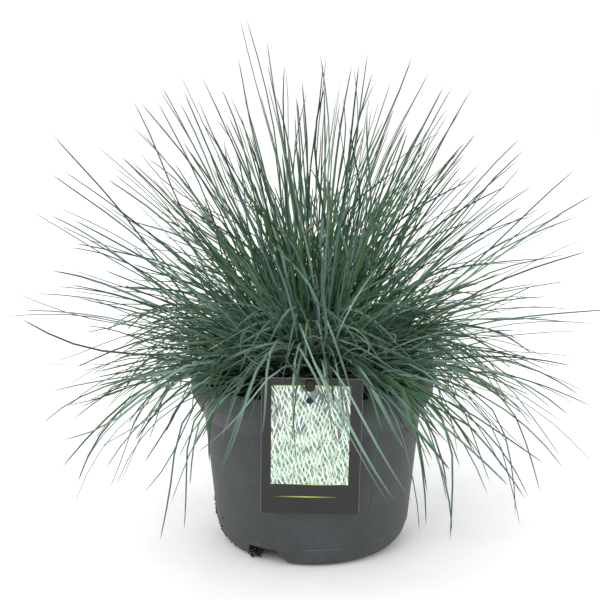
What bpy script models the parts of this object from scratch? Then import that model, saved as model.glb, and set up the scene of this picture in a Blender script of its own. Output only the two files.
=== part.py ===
"""Potted blue fescue clump: a nursery pot, its soil, the plant's crown and leaf tufts, and a
plain label on its holder.

Metres, +Z up. The pot stands on z = 0 with its axis on the Z axis, and the label faces -Y.
"""
import math
import random

import bmesh
import bpy
from mathutils import Euler, Matrix, Vector

MM = 0.001
GAP = 0.3 * MM  # air left between two pieces that touch

# Pot: a 19 cm nursery container, radii and heights of its outside
RIM_RADIUS = 95.0 * MM
POT_HEIGHT = 137.0 * MM
BAND_BOTTOM = 121.0 * MM  # the upright rim band ends here and the wall flares in
SEAM_RADIUS = 85.0 * MM
SEAM_HEIGHT = 104.0 * MM
SEAM_STEP = 0.6 * MM
CORNER_RADIUS = 76.0 * MM  # a second seam, where the wall starts to round in to the foot
CORNER_HEIGHT = 17.0 * MM
FOOT_RADIUS = 63.5 * MM
FLOOR_HEIGHT = 14.5 * MM  # underside of the floor, inside the foot ring
WALL = 1.6 * MM
FLOOR_THICKNESS = 1.8 * MM
POT_STEPS = 44

# Notches in the foot ring, which let water out
NOTCH_COUNT = 3
FIRST_NOTCH = math.radians(240)
NOTCH_HEIGHT = 13.5 * MM
NOTCH_WIDTH = 35.0 * MM  # at the table
NOTCH_TAPER = 0.68  # its top is this much of its width
DRAIN_COUNT = 8
DRAIN_RADIUS = 4.0 * MM
DRAIN_RING = 48.0 * MM

# Soil
SOIL_LEVEL = 126.0 * MM
SOIL_LUMPS = 4.0 * MM
SOIL_STEPS = 30

# Crown: the dense dome of old leaf bases that the tufts grow from
CROWN_RADIUS = 47.0 * MM
CROWN_HEIGHT = 31.0 * MM  # above the soil
CROWN_DEPTH = 6.0 * MM  # sunk in the soil
CROWN_DENTS = 2.0 * MM
CROWN_STEPS = 24

# Tufts: how many, how far down the dome they stand, first azimuth, azimuth step, blade length
# in mm and how far a blade's direction turns over by its tip. Angles are in degrees.
RINGS = (
    (1, 1.0, 165.0, 0.0, 244.0, 10.0),
    (6, 20.0, 10.0, 60.0, 226.0, 14.0),
    (10, 36.0, -72.0, 36.0, 218.0, 18.0),
    (11, 51.0, -71.0, 32.7, 222.0, 20.0),
    (8, 65.0, -15.0, 30.0, 196.0, 42.0),
    (9, 72.0, -30.0, 30.0, 186.0, 84.0),
    (2, 72.0, -62.0, 16.0, 180.0, 104.0),
    (2, 72.0, 226.0, 16.0, 180.0, 104.0),
    (2, 66.0, -79.0, -23.0, 112.0, 34.0),
    (1, 50.0, -91.0, 0.0, 134.0, 112.0),
)
TUFT_WIDTH = 5.2 * MM  # sheath, four blades wide in all
TUFT_SHEATH = 5.0 * MM
BLADE_SPLAY = math.radians(6.5)
BLADE_LENGTHS = (1.0, 0.93, 0.87, 0.8)
BLADE_TIP = 0.24  # a blade's width at its tip, to its width at the sheath
BEND_PER_SEGMENT = math.radians(22)
AZIMUTH_SPREAD = math.radians(2.5)
LEAN_SPREAD = math.radians(2)
LENGTH_SPREAD = 0.05
BEND_SPREAD = 0.3

# Label: a printed card that hangs on its holder and leans on the rim
LABEL_WIDTH = 72.0 * MM
LABEL_HEIGHT = 109.0 * MM
LABEL_THICKNESS = 0.6 * MM
LABEL_CORNER = 2.5 * MM
LABEL_LEAN = math.radians(8.6)
LABEL_TURN = math.radians(-1.1)
LABEL_SIDE = -0.9 * MM
LABEL_DROP = 17.9 * MM  # its centre is this far below where it touches the rim band
SLOT_WIDTH = 7.2 * MM
SLOT_HEIGHT = 9.6 * MM
SLOT_CENTRE = 48.8 * MM  # above the card's centre
EYE_RADIUS = 2.5 * MM
EYE_CENTRE = 37.0 * MM
STUD_SIDE = -1.5 * MM  # slot and eye, to the left of the card's middle

# Label holder: a bent strip that goes over the rim and down into the soil
HOLDER_WIDTH = 11.0 * MM
HOLDER_THICKNESS = 1.4 * MM
HOLDER_TOP = 156.3 * MM
HOLDER_BRIDGE = 137.6 * MM
HOLDER_INSIDE = 88.0 * MM  # distance from the pot's axis, where it turns down
HOLDER_TIP = (72.0 * MM, 78.0 * MM)  # distance from the axis and height
TONGUE_PROUD = 1.0 * MM
PIN_RADIUS = 2.0 * MM

COLOURS = {  # linear base colour, roughness
    "pot": ((0.076, 0.082, 0.088), 0.6),
    "potting_soil": ((0.012, 0.008, 0.006), 0.95),
    "crown": ((0.022, 0.026, 0.016), 0.9),
    "label": ((0.042, 0.036, 0.038), 0.45),
    "label_holder": ((0.006, 0.006, 0.007), 0.4),
    "tuft": ((0.115, 0.255, 0.205), 0.55),
}


def material(name):
    """The material of that name, made the first time it is asked for."""
    found = bpy.data.materials.get(name)
    if found:
        return found
    colour, roughness = COLOURS[name]
    made = bpy.data.materials.new(name)
    made.use_nodes = True
    shader = made.node_tree.nodes["Principled BSDF"]
    shader.inputs["Base Color"].default_value = (*colour, 1.0)
    shader.inputs["Roughness"].default_value = roughness
    shader.inputs["Metallic"].default_value = 0.0
    return made


def add_object(name, data, finish, group):
    """Puts mesh or curve data in the group as an object with its own finish."""
    data.materials.append(material(finish))
    made = bpy.data.objects.new(name, data)
    group.objects.link(made)
    return made


def add_cutter(name, data, group):
    """An object that only cuts others: hidden from renders and drawn as wire."""
    made = bpy.data.objects.new(name, data)
    made.hide_render = True
    made.display_type = "WIRE"
    group.objects.link(made)
    return made


def mesh_data(name, bm):
    """Mesh data from a bmesh, its faces all pointing outwards."""
    bmesh.ops.recalc_face_normals(bm, faces=bm.faces)
    data = bpy.data.meshes.new(name)
    bm.to_mesh(data)
    bm.free()
    return data


def profile_data(name, points):
    """A line of edges through (radius, height) points, for the Screw modifier."""
    data = bpy.data.meshes.new(name)
    edges = [(i, i + 1) for i in range(len(points) - 1)]
    data.from_pydata([(radius, 0.0, height) for radius, height in points], edges, [])
    return data


def turn(obj, steps):
    """Turns the object's profile about Z into a closed solid."""
    screw = obj.modifiers.new("turn", "SCREW")
    screw.steps = steps
    screw.render_steps = steps
    screw.use_merge_vertices = True
    screw.merge_threshold = 0.00001


def cut(obj, cutter, operation="DIFFERENCE"):
    """Cuts the cutter out of the object, or joins it on."""
    boolean = obj.modifiers.new(cutter.name, "BOOLEAN")
    boolean.operation = operation
    boolean.object = cutter
    boolean.solver = "EXACT"


def bent(start, corner, end, count):
    """Points of a smooth bend that leaves start and enters end towards the corner."""
    points = []
    for i in range(count + 1):
        t = i / count
        points.append(tuple(
            (1 - t) ** 2 * a + 2 * t * (1 - t) * b + t * t * c
            for a, b, c in zip(start, corner, end)
        ))
    return points


def round_outline(width, height, radius, steps=3):
    """Corner points of a rectangle with round corners, about its centre."""
    points = []
    for turn_count, (sx, sy) in enumerate(((1, 1), (-1, 1), (-1, -1), (1, -1))):
        centre = Vector((sx * (width / 2 - radius), sy * (height / 2 - radius)))
        for i in range(steps + 1):
            angle = math.radians(90) * (turn_count + i / steps)
            points.append(centre + radius * Vector((math.cos(angle), math.sin(angle))))
    return points


def sheet_curve(name, outlines, thickness):
    """A flat sheet with square edges: a filled 2D curve, holes by its inner outlines."""
    data = bpy.data.curves.new(name, "CURVE")
    data.dimensions = "2D"
    data.fill_mode = "BOTH"
    data.extrude = thickness / 2
    for outline in outlines:
        spline = data.splines.new("POLY")
        spline.points.add(len(outline) - 1)
        for point, (x, y) in zip(spline.points, outline):
            point.co = (x, y, 0.0, 1.0)
        spline.use_cyclic_u = True
    return data


def sheet_mesh(name, outlines, thickness):
    """The same sheet as welded mesh data, which a Boolean can use."""
    curve = bpy.data.objects.new(name, sheet_curve(name, outlines, thickness))
    bpy.context.scene.collection.objects.link(curve)
    evaluated = curve.evaluated_get(bpy.context.evaluated_depsgraph_get())
    data = bpy.data.meshes.new_from_object(evaluated)
    bm = bmesh.new()
    bm.from_mesh(data)
    bmesh.ops.remove_doubles(bm, verts=bm.verts, dist=0.00001)
    bmesh.ops.recalc_face_normals(bm, faces=bm.faces)
    bm.to_mesh(data)
    bm.free()
    bpy.data.objects.remove(curve)
    return data


# ---------------------------------------------------------------- pot


def pot_profile():
    """Radius and height along the pot's section: up the inside, over the rim, down the outside."""
    edge = 0.5 * MM
    inner_floor = FLOOR_HEIGHT + FLOOR_THICKNESS
    corner = (CORNER_RADIUS, CORNER_HEIGHT)
    outer_bend = bent(corner, (CORNER_RADIUS - 2.8 * MM, 2.6 * MM), (FOOT_RADIUS, 0.0), 5)
    foot_inside = (FOOT_RADIUS - WALL, 0.0)
    floor_edge = (CORNER_RADIUS - 2 * WALL, FLOOR_HEIGHT)
    inner_bend = bent(foot_inside, (CORNER_RADIUS - 5.1 * MM, 4.4 * MM), floor_edge, 3)
    inside = [
        (0.0, inner_floor),
        (CORNER_RADIUS - 3.5 * WALL, inner_floor),
        (CORNER_RADIUS - 0.8 * WALL, inner_floor + 4.0 * MM),
        (SEAM_RADIUS - WALL, SEAM_HEIGHT),
        (RIM_RADIUS - WALL, BAND_BOTTOM + 0.3 * MM),
        (RIM_RADIUS - WALL, POT_HEIGHT - edge),
    ]
    outside = [
        (RIM_RADIUS - WALL + edge, POT_HEIGHT),
        (RIM_RADIUS - edge, POT_HEIGHT),
        (RIM_RADIUS, POT_HEIGHT - edge),
        (RIM_RADIUS, BAND_BOTTOM),
        (SEAM_RADIUS + SEAM_STEP, SEAM_HEIGHT + SEAM_STEP),
        (SEAM_RADIUS, SEAM_HEIGHT),
        *outer_bend,
    ]
    foot = [*inner_bend, (0.0, FLOOR_HEIGHT)]
    return inside + outside + foot


def notch_data():
    """A wedge that cuts one notch: wide at the table, narrower and rounded at its top."""
    bm = bmesh.new()
    bmesh.ops.create_cube(bm, size=1.0)
    below = 3.0 * MM
    for vert in bm.verts:
        high = vert.co.z > 0
        width = NOTCH_WIDTH * (NOTCH_TAPER if high else 1 + (1 - NOTCH_TAPER) * below / NOTCH_HEIGHT)
        vert.co.x = CORNER_RADIUS + (4.0 * MM if vert.co.x > 0 else -19.0 * MM)
        vert.co.y = math.copysign(width / 2, vert.co.y)
        vert.co.z = NOTCH_HEIGHT if high else -below
    corners = [e for e in bm.edges if all(v.co.z > 0 for v in e.verts)
               and abs(e.verts[0].co.y - e.verts[1].co.y) < MM]
    bmesh.ops.bevel(bm, geom=corners, offset=3.5 * MM, segments=3, profile=0.5, affect="EDGES")
    return mesh_data("notch", bm)


def drain_data():
    """A short cylinder that cuts one drain hole through the floor."""
    bm = bmesh.new()
    bmesh.ops.create_cone(bm, cap_ends=True, segments=10, radius1=DRAIN_RADIUS,
                          radius2=DRAIN_RADIUS, depth=3 * FLOOR_THICKNESS)
    return mesh_data("drain", bm)


def build_pot(group, cutters):
    pot = add_object("pot", profile_data("pot", pot_profile()), "pot", group)
    turn(pot, POT_STEPS)
    for i in range(NOTCH_COUNT):
        notch = add_cutter(f"notch_{i + 1}", notch_data(), cutters)
        notch.rotation_euler.z = FIRST_NOTCH + math.tau * i / NOTCH_COUNT
        cut(pot, notch)
    for i in range(DRAIN_COUNT):
        drain = add_cutter(f"drain_{i + 1}", drain_data(), cutters)
        angle = math.tau * (i + 0.5) / DRAIN_COUNT
        drain.location = (DRAIN_RING * math.cos(angle), DRAIN_RING * math.sin(angle),
                          FLOOR_HEIGHT + FLOOR_THICKNESS / 2)
        cut(pot, drain)
    return pot


# ---------------------------------------------------------------- soil and crown


def soil_profile():
    """Section of the soil: a hollow for the crown, the open surface, then down inside the wall."""
    floor = FLOOR_HEIGHT + FLOOR_THICKNESS + GAP
    slope_top = (RIM_RADIUS - WALL - 0.5 * MM, SOIL_LEVEL - 1.0 * MM)
    return [
        (0.0, SOIL_LEVEL - CROWN_DEPTH - GAP),
        (CROWN_RADIUS + GAP, SOIL_LEVEL - CROWN_DEPTH - GAP),
        (CROWN_RADIUS + GAP, SOIL_LEVEL),
        (CROWN_RADIUS + 8.0 * MM, SOIL_LEVEL + 0.5 * MM),
        (CROWN_RADIUS + 18.0 * MM, SOIL_LEVEL),
        (CROWN_RADIUS + 29.0 * MM, SOIL_LEVEL - 0.5 * MM),
        (RIM_RADIUS - WALL - 7.0 * MM, SOIL_LEVEL - 1.0 * MM),
        slope_top,
        (slope_top[0], BAND_BOTTOM + 0.5 * MM),
        (SEAM_RADIUS - WALL - 0.5 * MM, SEAM_HEIGHT),
        (CORNER_RADIUS - 0.8 * WALL - 0.5 * MM, floor + 4.0 * MM),
        (CORNER_RADIUS - 3.5 * WALL - 0.5 * MM, floor),
        (0.0, floor),
    ]


def blade_slot_data():
    """A flat box that leaves room in the soil for the holder's blade."""
    bm = bmesh.new()
    bmesh.ops.create_cube(bm, size=1.0)
    length = holder_blade_length() + 2 * GAP
    size = (HOLDER_WIDTH + 2 * GAP, HOLDER_THICKNESS + 2 * GAP, length)
    bmesh.ops.scale(bm, vec=size, verts=bm.verts)
    bmesh.ops.translate(bm, vec=(0, 0, length / 2 - GAP), verts=bm.verts)
    return mesh_data("blade_slot", bm)


def build_soil(group, cutters):
    data = profile_data("potting_soil", soil_profile())
    soil = add_object("potting_soil", data, "potting_soil", group)
    open_surface = soil.vertex_groups.new(name="open_surface")
    open_surface.add([4, 5, 6], 1.0, "REPLACE")
    turn(soil, SOIL_STEPS)
    lumps = bpy.data.textures.new("lumps", "CLOUDS")
    lumps.noise_scale = 14.0 * MM
    displace = soil.modifiers.new("lumps", "DISPLACE")
    displace.texture = lumps
    displace.direction = "Z"
    displace.strength = SOIL_LUMPS
    displace.mid_level = 0.5
    displace.vertex_group = open_surface.name
    slot = add_cutter("blade_slot", blade_slot_data(), cutters)
    slot.location = holder_tip()
    slot.rotation_euler.x = holder_blade_tilt()
    cut(soil, slot)
    return soil


def crown_point(down, azimuth, lift=0.0):
    """A point on the crown's dome, lifted along its normal, and that normal."""
    normal = Vector((
        math.sin(down) / CROWN_RADIUS * math.cos(azimuth),
        math.sin(down) / CROWN_RADIUS * math.sin(azimuth),
        math.cos(down) / CROWN_HEIGHT,
    )).normalized()
    point = Vector((
        CROWN_RADIUS * math.sin(down) * math.cos(azimuth),
        CROWN_RADIUS * math.sin(down) * math.sin(azimuth),
        SOIL_LEVEL + CROWN_HEIGHT * math.cos(down),
    ))
    return point + lift * normal, normal


def build_crown(group):
    dome = []
    for i in range(8):
        point, _ = crown_point(math.radians(90) * i / 7, 0.0)
        dome.append((point.x, point.z))
    dome[0] = (0.0, dome[0][1])
    floor = SOIL_LEVEL - CROWN_DEPTH
    data = profile_data("crown", dome + [(CROWN_RADIUS, floor), (0.0, floor)])
    crown = add_object("crown", data, "crown", group)
    domed = crown.vertex_groups.new(name="domed")
    domed.add(list(range(1, 7)), 1.0, "REPLACE")
    turn(crown, CROWN_STEPS)
    dents = bpy.data.textures.new("dents", "CLOUDS")
    dents.noise_scale = 9.0 * MM
    displace = crown.modifiers.new("dents", "DISPLACE")
    displace.texture = dents
    displace.strength = CROWN_DENTS
    displace.mid_level = 1.0  # the dome is only dented, never raised
    displace.vertex_group = domed.name
    return crown


# ---------------------------------------------------------------- tufts


def blade_path(start, direction, length, bend, segments):
    """Points and directions along a blade that turns steadily further over."""
    lean = math.acos(max(-1.0, min(1.0, direction.z)))
    outward = Vector((direction.x, direction.y, 0.0))
    outward = outward.normalized() if outward.length > 1e-6 else Vector((1.0, 0.0, 0.0))
    fine = 8
    step = length / (segments * fine)
    point = start.copy()
    stations = []
    for i in range(segments * fine):
        angle = lean + bend * (i + 0.5) / (segments * fine)
        heading = outward * math.sin(angle) + Vector((0, 0, math.cos(angle)))
        point = point + heading * step
        if (i + 1) % fine == 0:
            stations.append((point.copy(), heading))
    return stations


def tuft_data(name, down, azimuth, length, bend):
    """One tuft: a short square sheath that splits into four splayed, tapering blades."""
    lift = GAP + TUFT_WIDTH * math.sin(LEAN_SPREAD)
    foot, axis = crown_point(down, azimuth, lift)
    side = axis.cross(Vector((0, 0, 1)))
    side = side.normalized() if side.length > 1e-6 else Vector((0.0, 1.0, 0.0))
    across = side.cross(axis)
    place = Matrix((side, across, axis)).transposed().to_4x4()
    place.translation = foot
    bm = bmesh.new()
    bmesh.ops.create_grid(bm, x_segments=2, y_segments=2, size=TUFT_WIDTH / 2)
    sheath = bmesh.ops.extrude_face_region(bm, geom=bm.faces[:], use_keep_orig=True)
    risen = [item for item in sheath["geom"] if isinstance(item, bmesh.types.BMVert)]
    bmesh.ops.translate(bm, vec=(0, 0, TUFT_SHEATH), verts=risen)
    tops = [item for item in sheath["geom"] if isinstance(item, bmesh.types.BMFace)]
    tops.sort(key=lambda f: (f.calc_center_median().y > 0, f.calc_center_median().x > 0))
    bmesh.ops.transform(bm, matrix=place, verts=bm.verts)
    segments = max(2, math.ceil(bend / BEND_PER_SEGMENT))
    for face, share in zip(tops, BLADE_LENGTHS):
        centre = face.calc_center_median()
        corners = [(vert.co - centre) for vert in face.verts]
        offset = centre - (foot + TUFT_SHEATH * axis)
        heading = (axis + offset.normalized() * math.tan(BLADE_SPLAY)).normalized()
        flat = [(c.dot(side), c.dot(across)) for c in corners]
        stations = blade_path(centre, heading, length * share, bend, segments)
        for i, (point, along) in enumerate(stations):
            size = 1 + (BLADE_TIP - 1) * ((i + 1) / segments) ** 1.3
            edge = (side - along * side.dot(along)).normalized()
            up = edge.cross(along)
            grown = bmesh.ops.extrude_discrete_faces(bm, faces=[face])
            face = grown["faces"][0]
            for vert, (x, y) in zip(face.verts, flat):
                vert.co = point + size * (x * edge + y * up)
    return mesh_data(name, bm)


def build_tufts(group):
    chance = random.Random(158)
    number = 0
    for count, down, first, step, length, bend in RINGS:
        for i in range(count):
            number += 1
            azimuth = math.radians(first + step * i)
            azimuth += chance.uniform(-1, 1) * AZIMUTH_SPREAD
            lean = math.radians(down) + chance.uniform(-1, 1) * LEAN_SPREAD * (down > 0)
            reach = length * MM * (1 + chance.uniform(-1, 1) * LENGTH_SPREAD)
            turned = math.radians(bend) * (1 + chance.uniform(-1, 1) * BEND_SPREAD)
            name = f"tuft_{number:02d}"
            data = tuft_data(name, lean, azimuth, reach, turned)
            add_object(name, data, "tuft", group)
    return number


# ---------------------------------------------------------------- label and its holder


def label_place():
    """Where the card's centre is and how it is turned: local Y up the card, local Z out of it."""
    turned = Euler((math.radians(90) + LABEL_LEAN, 0.0, LABEL_TURN), "ZYX")
    up = Vector((0, -math.sin(LABEL_LEAN), math.cos(LABEL_LEAN)))
    out = Vector((0, -math.cos(LABEL_LEAN), -math.sin(LABEL_LEAN)))
    touch = Vector((LABEL_SIDE, -(RIM_RADIUS + GAP), BAND_BOTTOM))
    centre = touch - LABEL_DROP * up + LABEL_THICKNESS / 2 * out
    return Matrix.LocRotScale(centre, turned, None)


def place_on_label(obj, side=0.0, height=0.0):
    """Places an object in the card's plane, this far to the right of its centre and above it."""
    obj.matrix_world = label_place() @ Matrix.Translation((side, height, 0.0))


def build_label(group):
    card = round_outline(LABEL_WIDTH, LABEL_HEIGHT, LABEL_CORNER)
    slot = [Vector((STUD_SIDE, SLOT_CENTRE)) + p
            for p in round_outline(SLOT_WIDTH, SLOT_HEIGHT, SLOT_WIDTH * 0.49)]
    eye = [Vector((STUD_SIDE, EYE_CENTRE)) + p
           for p in round_outline(2 * EYE_RADIUS, 2 * EYE_RADIUS, EYE_RADIUS * 0.98, 3)]
    label = add_object("label", sheet_mesh("label", [card, slot, eye], LABEL_THICKNESS),
                       "label", group)
    place_on_label(label)
    return label


def holder_turn():
    """The bend inside the rim, where the holder turns down: a point in the middle of the strip."""
    return Vector((LABEL_SIDE, -HOLDER_INSIDE, HOLDER_BRIDGE + HOLDER_THICKNESS))


def holder_tip():
    return Vector((LABEL_SIDE, -HOLDER_TIP[0], HOLDER_TIP[1]))


def holder_blade_length():
    return (holder_turn() - holder_tip()).length


def holder_blade_tilt():
    """Angle about X that stands a vertical strip along the holder's blade."""
    run = holder_turn() - holder_tip()
    return math.atan2(-run.y, run.z)


def holder_outline():
    """The holder's side view, as (distance in front of the axis, height) points."""
    behind = label_place() @ Vector((0.0, 0.0, -(LABEL_THICKNESS / 2 + GAP)))
    slope = math.tan(LABEL_LEAN)
    half = HOLDER_THICKNESS / 2
    tilt = holder_blade_tilt()
    across = Vector((math.cos(tilt), -math.sin(tilt))) * half
    tip = Vector((HOLDER_TIP[0], HOLDER_TIP[1]))
    inside = Vector((HOLDER_INSIDE, HOLDER_BRIDGE + half))

    def front(height, depth):
        return Vector((-behind.y + slope * (height - behind.z) - depth, height))

    thick = HOLDER_THICKNESS
    return [
        front(HOLDER_BRIDGE, 0.0),
        front(HOLDER_TOP, 0.0),
        front(HOLDER_TOP, thick),
        front(HOLDER_BRIDGE + 2 * thick, thick),
        front(HOLDER_BRIDGE + thick, 2 * thick),
        inside + Vector((-half, half)),
        inside - across - Vector((0.0, half)),
        tip - across,
        tip + across,
        inside + across - Vector((0.0, half)),
    ]


def build_holder(group, cutters):
    data = sheet_mesh("label_holder", [holder_outline()], HOLDER_WIDTH)
    # local X is the distance in front of the axis, local Y is up
    side_view = Matrix(((0, 0, 1, LABEL_SIDE), (-1, 0, 0, 0), (0, 1, 0, 0), (0, 0, 0, 1)))
    data.transform(side_view)
    holder = add_object("label_holder", data, "label_holder", group)
    depth = LABEL_THICKNESS + 2 * TONGUE_PROUD
    tongue_outline = round_outline(SLOT_WIDTH - 4 * GAP, SLOT_HEIGHT - 4 * GAP,
                                   (SLOT_WIDTH - 4 * GAP) * 0.49)
    tongue = add_cutter("tongue", sheet_mesh("tongue", [tongue_outline], depth), cutters)
    place_on_label(tongue, STUD_SIDE, SLOT_CENTRE)
    cut(holder, tongue, "UNION")
    bm = bmesh.new()
    bmesh.ops.create_cone(bm, cap_ends=True, segments=12, radius1=PIN_RADIUS,
                          radius2=PIN_RADIUS * 0.8, depth=depth)
    pin = add_cutter("pin", mesh_data("pin", bm), cutters)
    place_on_label(pin, STUD_SIDE, EYE_CENTRE)
    cut(holder, pin, "UNION")
    return holder


# ---------------------------------------------------------------- whole


def main():
    for obj in list(bpy.data.objects):
        bpy.data.objects.remove(obj)
    group = bpy.data.collections.new("potted_blue_fescue")
    cutters = bpy.data.collections.new("cutters")
    for collection in (group, cutters):
        bpy.context.scene.collection.children.link(collection)
    build_pot(group, cutters)
    build_soil(group, cutters)
    build_crown(group)
    count = build_tufts(group)
    build_label(group)
    build_holder(group, cutters)
    print(f"potted blue fescue: {count} tufts")


main()
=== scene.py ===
# %% [markdown]
# # Dressing a potted blue fescue
#
# Blue fescue is a clump grass: hundreds of stiff, rolled, wax-blue leaves that spring from one low
# crown and arch outwards. This one stands in a dark grey nursery pot with a picture label.
#
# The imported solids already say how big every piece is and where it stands. This script loads them
# as a fixed frame and remakes each one with the form and finish it has from close by. Everything is
# in metres with +Z up, the pot stands on z = 0 round the Z axis, and the label faces -Y.

# %% Load the frame
import math
import random

import bmesh
import bpy
import numpy as np
from mathutils import Euler, Matrix, Vector


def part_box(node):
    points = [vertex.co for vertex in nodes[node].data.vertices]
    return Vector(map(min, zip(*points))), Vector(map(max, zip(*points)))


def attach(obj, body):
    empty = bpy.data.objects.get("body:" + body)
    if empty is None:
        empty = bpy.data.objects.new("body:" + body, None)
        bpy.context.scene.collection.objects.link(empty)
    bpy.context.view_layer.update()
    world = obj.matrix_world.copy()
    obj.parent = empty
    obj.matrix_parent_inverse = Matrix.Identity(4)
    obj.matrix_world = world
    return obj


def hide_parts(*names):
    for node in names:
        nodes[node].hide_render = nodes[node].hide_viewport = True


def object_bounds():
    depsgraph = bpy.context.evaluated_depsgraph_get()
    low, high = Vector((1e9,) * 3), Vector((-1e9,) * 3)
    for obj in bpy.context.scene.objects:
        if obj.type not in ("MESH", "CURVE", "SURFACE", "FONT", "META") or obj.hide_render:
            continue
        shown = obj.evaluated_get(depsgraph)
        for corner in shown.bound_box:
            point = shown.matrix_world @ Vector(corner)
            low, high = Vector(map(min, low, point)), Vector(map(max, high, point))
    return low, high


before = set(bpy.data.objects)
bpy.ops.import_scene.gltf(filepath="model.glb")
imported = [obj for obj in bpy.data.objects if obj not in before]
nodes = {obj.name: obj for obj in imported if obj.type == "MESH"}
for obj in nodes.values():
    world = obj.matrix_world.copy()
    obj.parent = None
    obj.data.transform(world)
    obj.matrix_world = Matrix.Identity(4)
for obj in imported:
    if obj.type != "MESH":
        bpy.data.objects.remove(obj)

MM = 0.001
cad_low, cad_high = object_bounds()
print(f"frame: {len(nodes)} nodes, {(cad_high - cad_low).x / MM:.0f} x "
      f"{(cad_high - cad_low).y / MM:.0f} x {(cad_high - cad_low).z / MM:.0f} mm")

# %% [markdown]
# ## Camera
#
# A product photo of a plant is taken from a little above the pot's rim, so that the clump shows its
# height and the pot its roundness. The camera's height, distance and lens were found from the pot:
# the ellipses of its rim and foot open by an amount that only one camera height gives.

# %% The camera
CAMERA_PLACE = Vector((0.0, -0.95, 0.3988))
CAMERA_PITCH = 0.215  # radians below the horizon
CAMERA_YAW = -0.0099
CAMERA_ROLL = -0.0025
LENS = 75.13  # mm, on a sensor 36 mm wide
SENSOR = 36.0
IMAGE_SIDE = 600  # pixels

view_ahead = Vector((math.sin(CAMERA_YAW) * math.cos(CAMERA_PITCH),
                     math.cos(CAMERA_YAW) * math.cos(CAMERA_PITCH), -math.sin(CAMERA_PITCH)))
view_right = view_ahead.cross(Vector((0, 0, 1))).normalized()
view_up = view_right.cross(view_ahead)
view_right, view_up = (
    view_right * math.cos(CAMERA_ROLL) + view_up * math.sin(CAMERA_ROLL),
    view_up * math.cos(CAMERA_ROLL) - view_right * math.sin(CAMERA_ROLL),
)

camera_data = bpy.data.cameras.new("camera")
camera_data.lens = LENS
camera_data.sensor_width = SENSOR
camera = bpy.data.objects.new("camera", camera_data)
bpy.context.scene.collection.objects.link(camera)
turned = Matrix((view_right, view_up, -view_ahead)).transposed().to_4x4()
camera.matrix_world = Matrix.Translation(CAMERA_PLACE) @ turned
bpy.context.scene.camera = camera


def seen_at(across, down, depth):
    """The point that the photo shows at this pixel, on the upright plane y = -depth."""
    ray = (view_ahead + (across - IMAGE_SIDE / 2) / IMAGE_SIDE * SENSOR / LENS * view_right
           + (IMAGE_SIDE / 2 - down) / IMAGE_SIDE * SENSOR / LENS * view_up)
    return CAMERA_PLACE + ray * ((-depth - CAMERA_PLACE.y) / ray.y)


print(f"the camera is {-CAMERA_PLACE.y:.2f} m in front of the axis, {CAMERA_PLACE.z:.2f} m up")

# %% [markdown]
# ## Floor, lights and world
#
# The plant is photographed on white paper under big soft lights. A pale floor, a pale world and
# three soft area lights do the same: the world fills the shadows, and the lights give the leaves
# their direction. The standard view keeps the paper white and the colours as they are mixed.
# Every finish in this script is built with the same two helpers, one that sets a node's inputs and
# one that adds a node.

# %% Colours, nodes and materials


def linear(hex_colour):
    """A colour written as sRGB hex, as the linear red, green, blue and alpha of a shader."""
    channels = [int(hex_colour[i:i + 2], 16) / 255 for i in (1, 3, 5)]
    return (*(c / 12.92 if c <= 0.04045 else ((c + 0.055) / 1.055) ** 2.4 for c in channels), 1.0)


def set_inputs(node, inputs):
    """Sets a node's inputs, each to a value, an output or the first output of another node."""
    for name, value in inputs.items():
        if isinstance(value, bpy.types.Node):
            value = next(output for output in value.outputs if output.enabled)
        if isinstance(value, bpy.types.NodeSocket):
            node.id_data.links.new(value, node.inputs[name])
        else:
            node.inputs[name].default_value = value


def add_node(tree, kind, inputs=(), stops=(), **settings):
    """Adds a node: its settings, its inputs (by name, or in their order) and its ramp's stops."""
    made = tree.nodes.new("ShaderNode" + kind)
    for name, value in settings.items():
        setattr(made, name, value)
    set_inputs(made, inputs if isinstance(inputs, dict) else dict(enumerate(inputs)))
    for i, (place, colour) in enumerate(stops):
        points = made.color_ramp.elements
        point = points[i] if i < 2 else points.new(place)
        point.position = place
        point.color = linear(colour)
    return made


def new_material(name, roughness, ior):
    """A material with one Principled shader; returns it, its tree and its shader."""
    made = bpy.data.materials.new(name)
    made.use_nodes = True
    shader = made.node_tree.nodes["Principled BSDF"]
    set_inputs(shader, {"Roughness": roughness, "IOR": ior})
    return made, made.node_tree, shader


# %% Lights and world
WORLD_POWER = 1.06
AIM = Vector((0, 0, 0.2))  # the middle of the clump
LIGHTS = (  # name, place, side, power in watts, colour
    ("key", (-1.1, -1.7, 2.1), 1.4, 30.0, "#fffdf8"),
    ("fill", (1.9, -1.2, 1.3), 1.6, 7.0, "#f6faff"),
    ("back", (0.3, 1.9, 1.9), 1.6, 10.0, "#ffffff"),
)

for name, place, side, power, colour in LIGHTS:
    data = bpy.data.lights.new(name, "AREA")
    data.size = side
    data.energy = power
    data.color = linear(colour)[:3]
    light = bpy.data.objects.new(name, data)
    bpy.context.scene.collection.objects.link(light)
    light.location = place
    light.rotation_euler = (AIM - light.location).to_track_quat("-Z", "Y").to_euler()
    light.visible_camera = False
    print(f"{name} light: {power:.0f} W, {(AIM - light.location).length:.1f} m from the clump")

world = bpy.data.worlds.new("pale studio")
world.use_nodes = True
set_inputs(world.node_tree.nodes["Background"],
           {"Color": linear("#ffffff"), "Strength": WORLD_POWER})
bpy.context.scene.world = world
bpy.context.scene.view_settings.view_transform = "Standard"

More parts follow.
